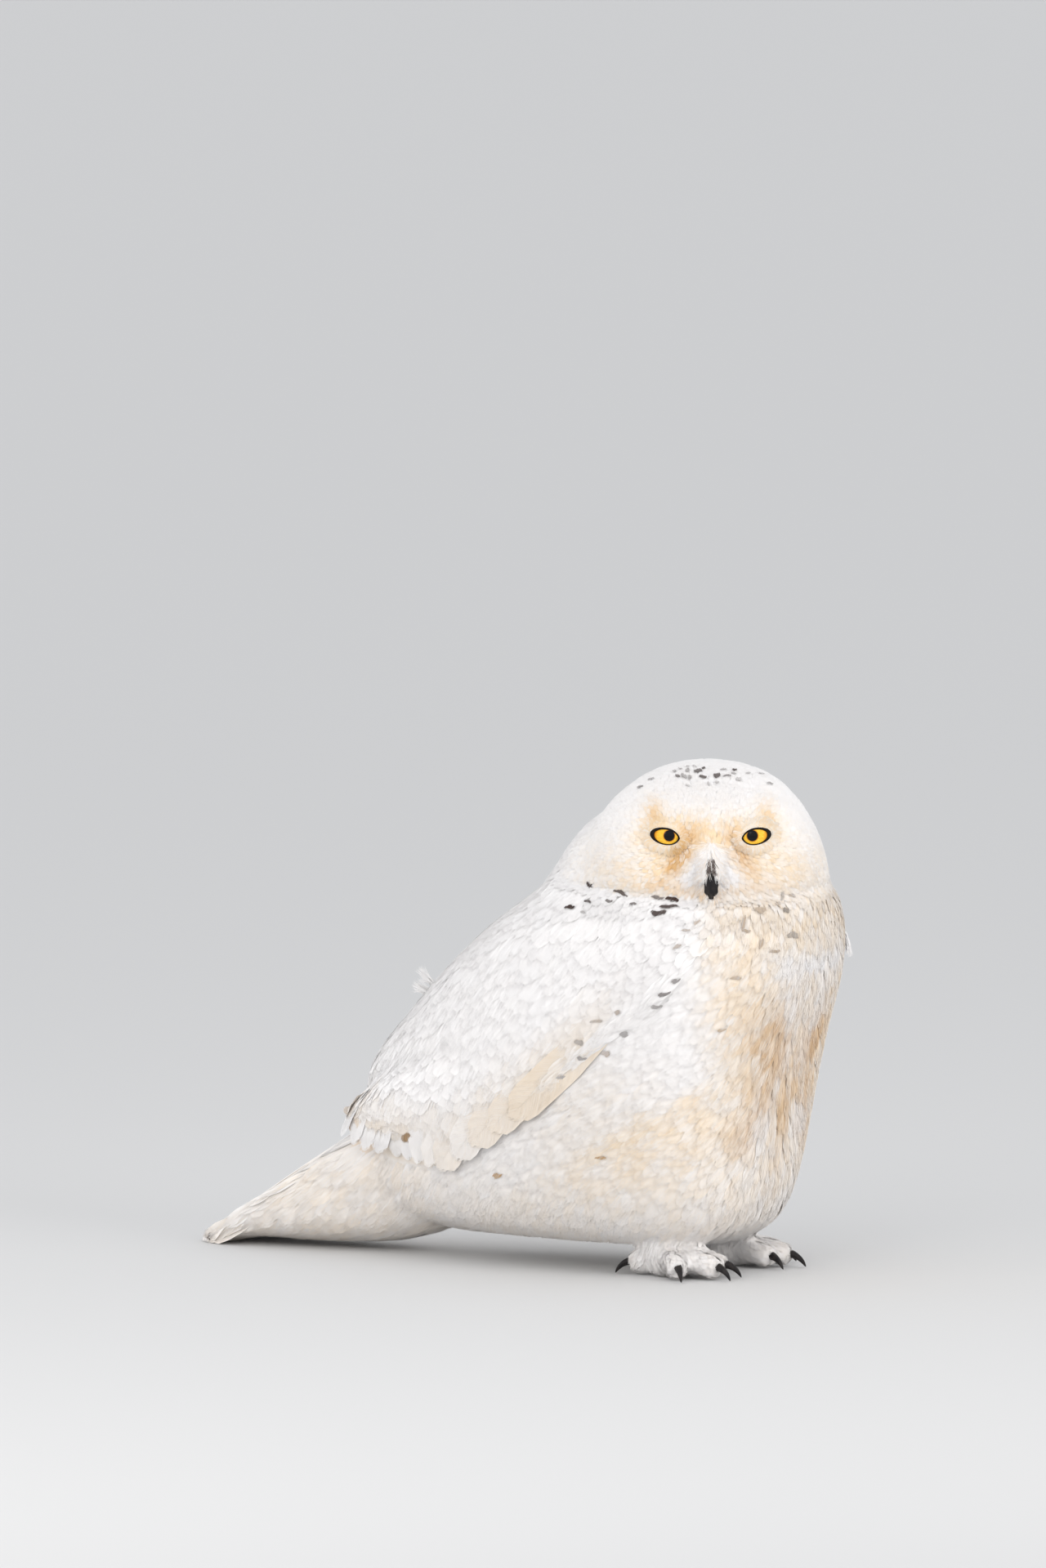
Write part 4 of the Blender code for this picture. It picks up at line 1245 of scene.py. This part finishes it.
def tail_feathers(form, bundle):
    steps = np.linspace(0, 1, SPINE_STEPS)
    rears = np.linspace(282, 368, 8)
    for sign in SIDES.values():
        for order, (near, far, reach) in enumerate(TAIL):
            above = np.stack([0 * rears + sign * 6, rears, 0 * rears + 400], 1) * MM
            met, struck, _ = form.struck(MIDDLE + above, Vector((0, 0, -1)))
            fall = np.polyfit(rears[met], struck[:, 2] / MM, 1)
            rear = TAIL_ROOT + (reach - TAIL_ROOT) * steps
            out = near + (far - near) * steps
            over = np.clip(out - 12, 0, None)
            z = np.polyval(fall, rear) + 0.8 - 0.35 * order - 0.020 * over**2
            points = (MIDDLE + np.stack([sign * out, rear, np.maximum(z, 1.0)], 1) * MM)[None]
            normals = unit(np.stack([sign * 0.048 * over, 0.6 + 0 * over, 1 + 0 * over], 1)[None])
            patch, tints = form.patches_near(points[:, 2]), tints_at(points[:, 3])
            plumes = Plumes(points, normals, 13.5 * MM, patch, tints, 0.3 * MM, 0.3 * MM)
            add_vanes(bundle, plumes, rows=16, columns=5, reach=0.992, wide=1, outline=quill_outline)
            add_barbs(bundle, plumes, 110, 0.66 * MM)


def laid_over(guide, across, up, toward, rise):
    """Lines drawn across the face from ahead, laid on whatever lies there: [feathers, steps, 3]."""
    origins = seen_from_ahead(across.ravel(), up.ravel(), toward, rise)
    hits = np.array([guide.ray_cast(o, -toward)[0] for o in origins.tolist()], float)
    points = hits.reshape(*across.shape, 3)
    for _ in range(2):
        points[:, 1:-1] = points[:, 1:-1] * 0.5 + (points[:, :-2] + points[:, 2:]) * 0.25
    return points


def curve(start, heading, turn, length):
    """Steps of a flat curve from a start; heading in radians from straight down."""
    s = np.linspace(0, 1, SPINE_STEPS)[:-1]
    heading = heading[:, None] + turn[:, None] * s
    step = (length / (SPINE_STEPS - 1))[:, None]
    begin = np.zeros((len(start), 1))
    out = np.concatenate([begin, np.cumsum(np.sin(heading) * step, 1)], 1)
    down = np.concatenate([begin, np.cumsum(np.cos(heading) * step, 1)], 1)
    return start[:, :1] + out, start[:, 1:] - down


def bristle_lines(kind, count):
    """Where bristles of one kind beside the bill run, as flat curves on the owl's left side."""
    if kind == "chin":  # short ones beside the bill's tip
        up = dice.uniform(-41.5, -33, count)
        across = np.interp(up, [-41.5, -38, -33], [1.6, 4.0, 4.7]) + 1.8 * dice.random(count)
        fan = np.radians(np.clip(dice.normal(20, 18, count), -4, 70))
        length = dice.uniform(3.5, 7.5, count)
    else:
        dark = kind == "dark"
        up = dice.uniform(-22, -14, count) if dark else dice.uniform(-27, -5, count)
        inner = np.interp(up, [-27, -22, -17, -10, -5], [3.8, 1.0, 0.0, 0.0, 0.0])
        across = inner + (1.4 if dark else 3.8) * dice.random(count)
        fan = np.interp(up, [-27, -18, -9, -5], [32, 40, 58, 62]) + dice.normal(0, 11, count)
        fan = np.radians(fan) * (0.35 if dark else np.clip(0.25 + across / 2.4, 0, 1))
        length = dice.uniform(6, 13, count) * (0.6 if dark else 1)
    return curve(np.stack([across, up], 1), fan, dice.normal(0.0, 0.35, count), length)


# Bristles on each side of the bill: how many, how dark, and what share of them is rusty.
BRISTLES = {"pale": (680, 0.0, 0.15), "dark": (120, 0.93, 0.15), "chin": (190, 0.0, 0.6)}


def bristles(guide, form, bundle):
    """Fine curved hairs that fan out and down from both sides of the bill and hide its root."""
    s = np.linspace(0, 1, SPINE_STEPS)
    for sign in SIDES.values():
        for kind, (count, dark, rusty) in BRISTLES.items():
            across, up = bristle_lines(kind, count)
            points = laid_over(guide, sign * across, up, BACK, PICTURE_UP)
            clear = (0.15 + 1.3 * s * (1 - s * 0.6)) * MM * dice.uniform(0.3, 1.3, (count, 1))
            points = points + arr(BACK) * clear[..., None]
            normals = form.normal[form.settle(points.reshape(-1, 3))[1]].reshape(points.shape)
            normals = unit(normals + 0.5 * arr(BACK))
            patches = form.patches_near(points[:, 0])
            own = tints_at(points[:, 3])
            tints = {
                "cream": np.clip(own["cream"] + dice.uniform(-0.05, 0.3, count), 0, 1),
                "gold": np.clip(own["gold"] * 0.8 + 0.25 * (dice.random(count) < rusty), 0, 1),
                "grey": dice.uniform(0, 0.12, count),
            }
            plumes = Plumes(points, normals, 0.7 * MM, patches, tints, arch=0)
            u = dice.normal(0, 0.6, (count, 2, 1)) * (0.3 + s)
            wide = np.array([0.8, 1, 1.0, 0.8, 0.5, 0]) * 0.26 * MM
            add_ribbons(bundle, plumes, u, s, 0, wide, dice.random((count, 2)), dark)


# Rows of small feathers round each eye: how far out they start, how long and how wide they are.
LID_FEATHERS = ((-0.25, 4.2, 1.2), (0.6, 5.2, 1.4), (1.8, 6.0, 1.6))
ROUND_EYE = 84  # feathers in a row


def lid_feathers(guide, form, bundle):
    """Small feathers that start at the dark rim of each eye and hide the lids."""
    count = ROUND_EYE
    for sign in SIDES.values():
        for row, (out_by, length, half) in enumerate(LID_FEATHERS):
            angles = (np.arange(count) + 0.5 * row + dice.normal(0, 0.15, count)) / count * 2 * np.pi
            out, up = almond(RIM, angles, out_by)
            start = np.stack([EYE_APART / MM + out, up], 1)
            heading = np.arctan2(np.cos(angles) * 1.1 + 0.25, -np.sin(angles))
            lengths = length * dice.uniform(0.8, 1.2, count)
            across, up = curve(start, heading + dice.normal(0, 0.12, count), np.zeros(count), lengths)
            points = laid_over(guide, sign * across, up, FACING, UP)
            away = np.outer(sign * np.cos(angles), arr(ACROSS)) + np.outer(np.sin(angles), arr(UP))
            normals = np.repeat(unit(arr(FACING) + away * 0.25)[:, None], SPINE_STEPS, 1)
            sink = -0.40 * MM  # the root starts on top of the lid
            lift = dice.uniform(0.1, 0.5, count) * MM + 0.25 * MM * (2 - row)
            patches, tints = form.patches_near(points[:, 0]), tints_at(points[:, 4])
            plumes = Plumes(points, normals, half * MM, patches, tints, sink, lift)
            add_vanes(bundle, plumes, rows=4)
            add_strands(bundle, plumes, 9, 0.24 * MM, 0.3 * MM)


# Locks that stand out from the outline: how high in the picture from the eyes, on which side, which way
# they lean across and up, how long, how many strands and how far they spread, in millimetres.
LOCKS = (
    (-97, -1, -0.45, 0.9, 14, 26, 6), (-104, -1, -0.7, 0.7, 11, 18, 4),
    (-66, 1, 0.35, -1.0, 12, 26, 6), (-75, 1, 0.30, -1.0, 10, 20, 6),
)


def locks(form, bundle):
    away = form.places - arr(BETWEEN_EYES)
    across, up = away @ arr(ACROSS) / MM, away @ arr(PICTURE_UP) / MM
    s = np.linspace(0, 1, SPINE_STEPS)
    for level, side, lean, rise, length, count, spread in LOCKS:
        near = np.flatnonzero(np.abs(up - level) < spread)
        edge = near[np.argsort(-side * across[near])[: max(12, count // 3)]]
        roots = form.places[dice.choice(edge, count)] + dice.normal(0, 1.2 * MM, (count, 3))
        roots, faces = form.settle(roots)
        way = arr(ACROSS) * lean + arr(PICTURE_UP) * rise
        way = unit(way + form.way[faces] * 0.4 + dice.normal(0, 0.14, (count, 3)))
        outward = form.normal[faces]
        lengths = length * MM * dice.uniform(0.6, 1.1, count)
        points = roots[:, None] + way[:, None] * (lengths[:, None] * s)[..., None]
        points = points + outward[:, None] * (0.8 * MM * np.sin(s * math.pi))[:, None]
        normals = np.repeat(unit(outward + arr(BACK) * 0.7)[:, None], SPINE_STEPS, 1)
        tints = {"cream": 0.03, "gold": 0, "grey": dice.uniform(0, 0.05, count)}
        plumes = Plumes(points, normals, 1.2 * MM, form.patches_at(faces), tints, arch=0)
        v = np.linspace(0, 1, 5)
        u = dice.normal(0, 0.9, (count, 5, 1)) * (0.1 + v**1.3)
        wide = np.array([1, 1, 0.8, 0.5, 0]) * 0.34 * MM
        add_ribbons(bundle, plumes, u, v, 0, wide, dice.random((count, 5)), roll=0.5)


# --- skin ------------------------------------------------------------------------------------------------
SKIN_ROUNDS = 6  # of smoothing
SKIN_SHARE = 0.2  # of the form's triangles that the skin keeps
DEEPER_SOCKET = 5 * MM


def skin_piece(form_obj, form, paint, marks):
    """The skin: the form drawn in by the depth of the coat."""
    skin = put_in_scene("skin", form_obj.data.copy())
    region = coat_regions(form.places, form.outward)
    depth = (np.array([COATS[r].depth for r in region]) * 0.45 + 0.3) * MM
    places = form.places - form.outward * depth[:, None]
    across, up, ahead = face_place(places)
    socket = np.hypot((np.abs(across) - EYE_APART / MM - 1) / 13, (up - 0.5) / 9)
    places -= (smoothstep(1.0, 0.75, socket) * (ahead > -20) * DEEPER_SOCKET)[:, None] * arr(FACING)
    places[:, 2] = np.maximum(places[:, 2], 0.2 * MM)
    skin.data.vertices.foreach_set("co", places.ravel())
    fleck = np.zeros(len(places))
    spots, _, table = marks
    for spot, wide, dark in zip(spots, table[:, 2], table[:, 4]):
        away = np.linalg.norm(form.places - spot, axis=1)
        fleck = np.maximum(fleck, dark * smoothstep(0.75, 0.45, away / (wide * MM)))
    # an along of 0.2 gives the skin the painted shade of a feather's root part
    values = tints_at(form.places) | {"fleck": fleck, "tone": 0 * fleck + 0.5, "along": 0 * fleck + 0.2}
    for key, value in values.items():
        note(skin.data, key, value)
    skin.data.materials.append(paint)
    skin.data.shade_smooth()
    modify(skin, "SMOOTH", factor=0.5, iterations=SKIN_ROUNDS)
    modify(skin, "DECIMATE", ratio=SKIN_SHARE)
    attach(skin, "root")
    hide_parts(*FLESH)


# --- room, light and camera ----------------------------------------------------------------------------
FLOOR_SIZE, FLOOR_GREY = 400, 0.66
ROOM_COLOUR, ROOM_STRENGTH = (0.97, 0.98, 1.0, 1), 0.92
LAMP_SPREAD = math.radians(120)
LAMPS_AIM = Vector((0, 0, 0.17))
# Each lamp: which way it lies, how far, how broad, how strong, its colour, and if glossy parts show it.
LAMPS = {
    "key": (BACK - ACROSS * 0.42 + UP * 0.32, 2.2, 1.7, 5.5, (1.0, 0.975, 0.945), False),
    "spark": (BACK - ACROSS * 0.30 + UP * 0.36, 2.2, 0.50, 0.7, (1.0, 0.985, 0.965), True),
    "low": (BACK * 0.45 - ACROSS + UP * 0.24, 2.6, 1.1, 2.6, (1.0, 0.98, 0.95), False),
    "fill": (ACROSS * 0.9 + UP * 0.30 + FACING * 0.8, 3.0, 1.6, 13.0, (1.0, 0.98, 0.96), False),
}
CAMERA_AWAY = 9.0
FRAME_HEIGHT = 1.0555  # of the picture, at the owl
LOOK_RIGHT, LOOK_UP = -0.1262, 0.0344  # from the middle between the eyes to the picture's middle
SENSOR = 36


def floor():
    bpy.ops.object.select_all(action="DESELECT")
    bpy.ops.mesh.primitive_plane_add(size=FLOOR_SIZE)
    ground = bpy.context.object
    ground.name = "floor"
    paint = Paint("floor", Roughness=0.9)
    paint.feed("Base Color", (FLOOR_GREY, FLOOR_GREY, FLOOR_GREY))
    ground.data.materials.append(paint.material)


def light_room():
    world = bpy.data.worlds.new("room")
    bpy.context.scene.world = world
    world.use_nodes = True
    background = world.node_tree.nodes["Background"]
    background.inputs["Color"].default_value = ROOM_COLOUR
    background.inputs["Strength"].default_value = ROOM_STRENGTH
    for name, (direction, distance, size, power, colour, mirrored) in LAMPS.items():
        lamp = bpy.data.lights.new(name, "AREA")
        lamp.shape = "DISK"
        lamp.size, lamp.energy, lamp.color, lamp.spread = size, power, colour, LAMP_SPREAD
        obj = put_in_scene(name, lamp)
        obj.visible_glossy = mirrored
        obj.location = LAMPS_AIM + direction.normalized() * distance
        obj.rotation_euler = (LAMPS_AIM - obj.location).to_track_quat("-Z", "Y").to_euler()
    bpy.context.scene.view_settings.view_transform = "Standard"


def camera():
    lens = bpy.data.cameras.new("camera")
    lens.sensor_width = SENSOR
    lens.lens = SENSOR * CAMERA_AWAY / FRAME_HEIGHT
    lens.clip_end = 1000
    obj = put_in_scene("camera", lens)
    aim = BETWEEN_EYES + ACROSS * LOOK_RIGHT + PICTURE_UP * LOOK_UP
    obj.location = aim + BACK * CAMERA_AWAY
    obj.rotation_euler = BACK.to_track_quat("Z", "Y").to_euler()
    bpy.context.scene.camera = obj


# --- making the owl ----------------------------------------------------------------------------------
PIECES = {
    "coat_face": ["face"],
    "coat_crown": ["crown"],
    "coat_ruff": ["ruff"],
    "coat_breast": ["breast"],
    "coat_flanks": ["flank"],
    "coat_belly": ["belly"],
    "coat_mantle": ["mantle"],
    "coat_wings": ["wing"],
    "coat_tail": ["tail", "vent"],
    "coat_feet": ["leg", "foot"],
}
CLEAR = {"face": clear_of_eyes, "wing": coverts_only}
SPECIAL = {"coat_wings": flight_feathers, "coat_tail": tail_feathers}

form_obj = plumage_form()
unwrap(form_obj)
form = Form(form_obj)
marks = marks_on(form)
plumage = plumage_paint()
skin_piece(form_obj, form, plumage, marks)
for name, regions in PIECES.items():
    bundle = Bundle(name)
    for region in regions:
        grow(form, bundle, region, np.flatnonzero(form.region == region), CLEAR.get(region))
    if name in SPECIAL:
        SPECIAL[name](form, bundle)
    bundle.finish(plumage)

rim_look = {"Roughness": 0.7, "Specular_IOR_Level": 0.2}
rim_paint = wrinkled_paint("eye_rim", RIM_DARK, RIM_LIGHT, 900, 0.2, 0.6, **rim_look)
lid_paint = wrinkled_paint("eyelid", LID_DARK, LID_LIGHT, 700, 0.3, 0.8, Roughness=0.6)
covers = []
for side in SIDES:
    eyeball(side)
    covers += lids(side, rim_paint, lid_paint)
marked = Bundle("coat_marks")
fleck_feathers(form, marked, marks)
locks(form, marked)
marked.finish(plumage)

# What the small feathers of the face are laid over: the form, the bill and the lids.
layers = [put_in_scene("guide", obj.data.copy()) for obj in [form_obj, *covers]]
layers.append(merged_copy("upper_bill", "guide"))
pick(*layers)
bpy.ops.object.join()
guide_places, _, guide_triangles = numbers(layers[0])
guide = BVHTree.FromPolygons(guide_places.tolist(), guide_triangles.tolist())
whiskers = Bundle("face_bristles")
bristles(guide, form, whiskers)
lid_feathers(guide, form, whiskers)
whiskers.finish(plumage)
bpy.data.objects.remove(layers[0])
bpy.data.objects.remove(form_obj)
horny_parts(horn_paint())

floor()
light_room()
camera()
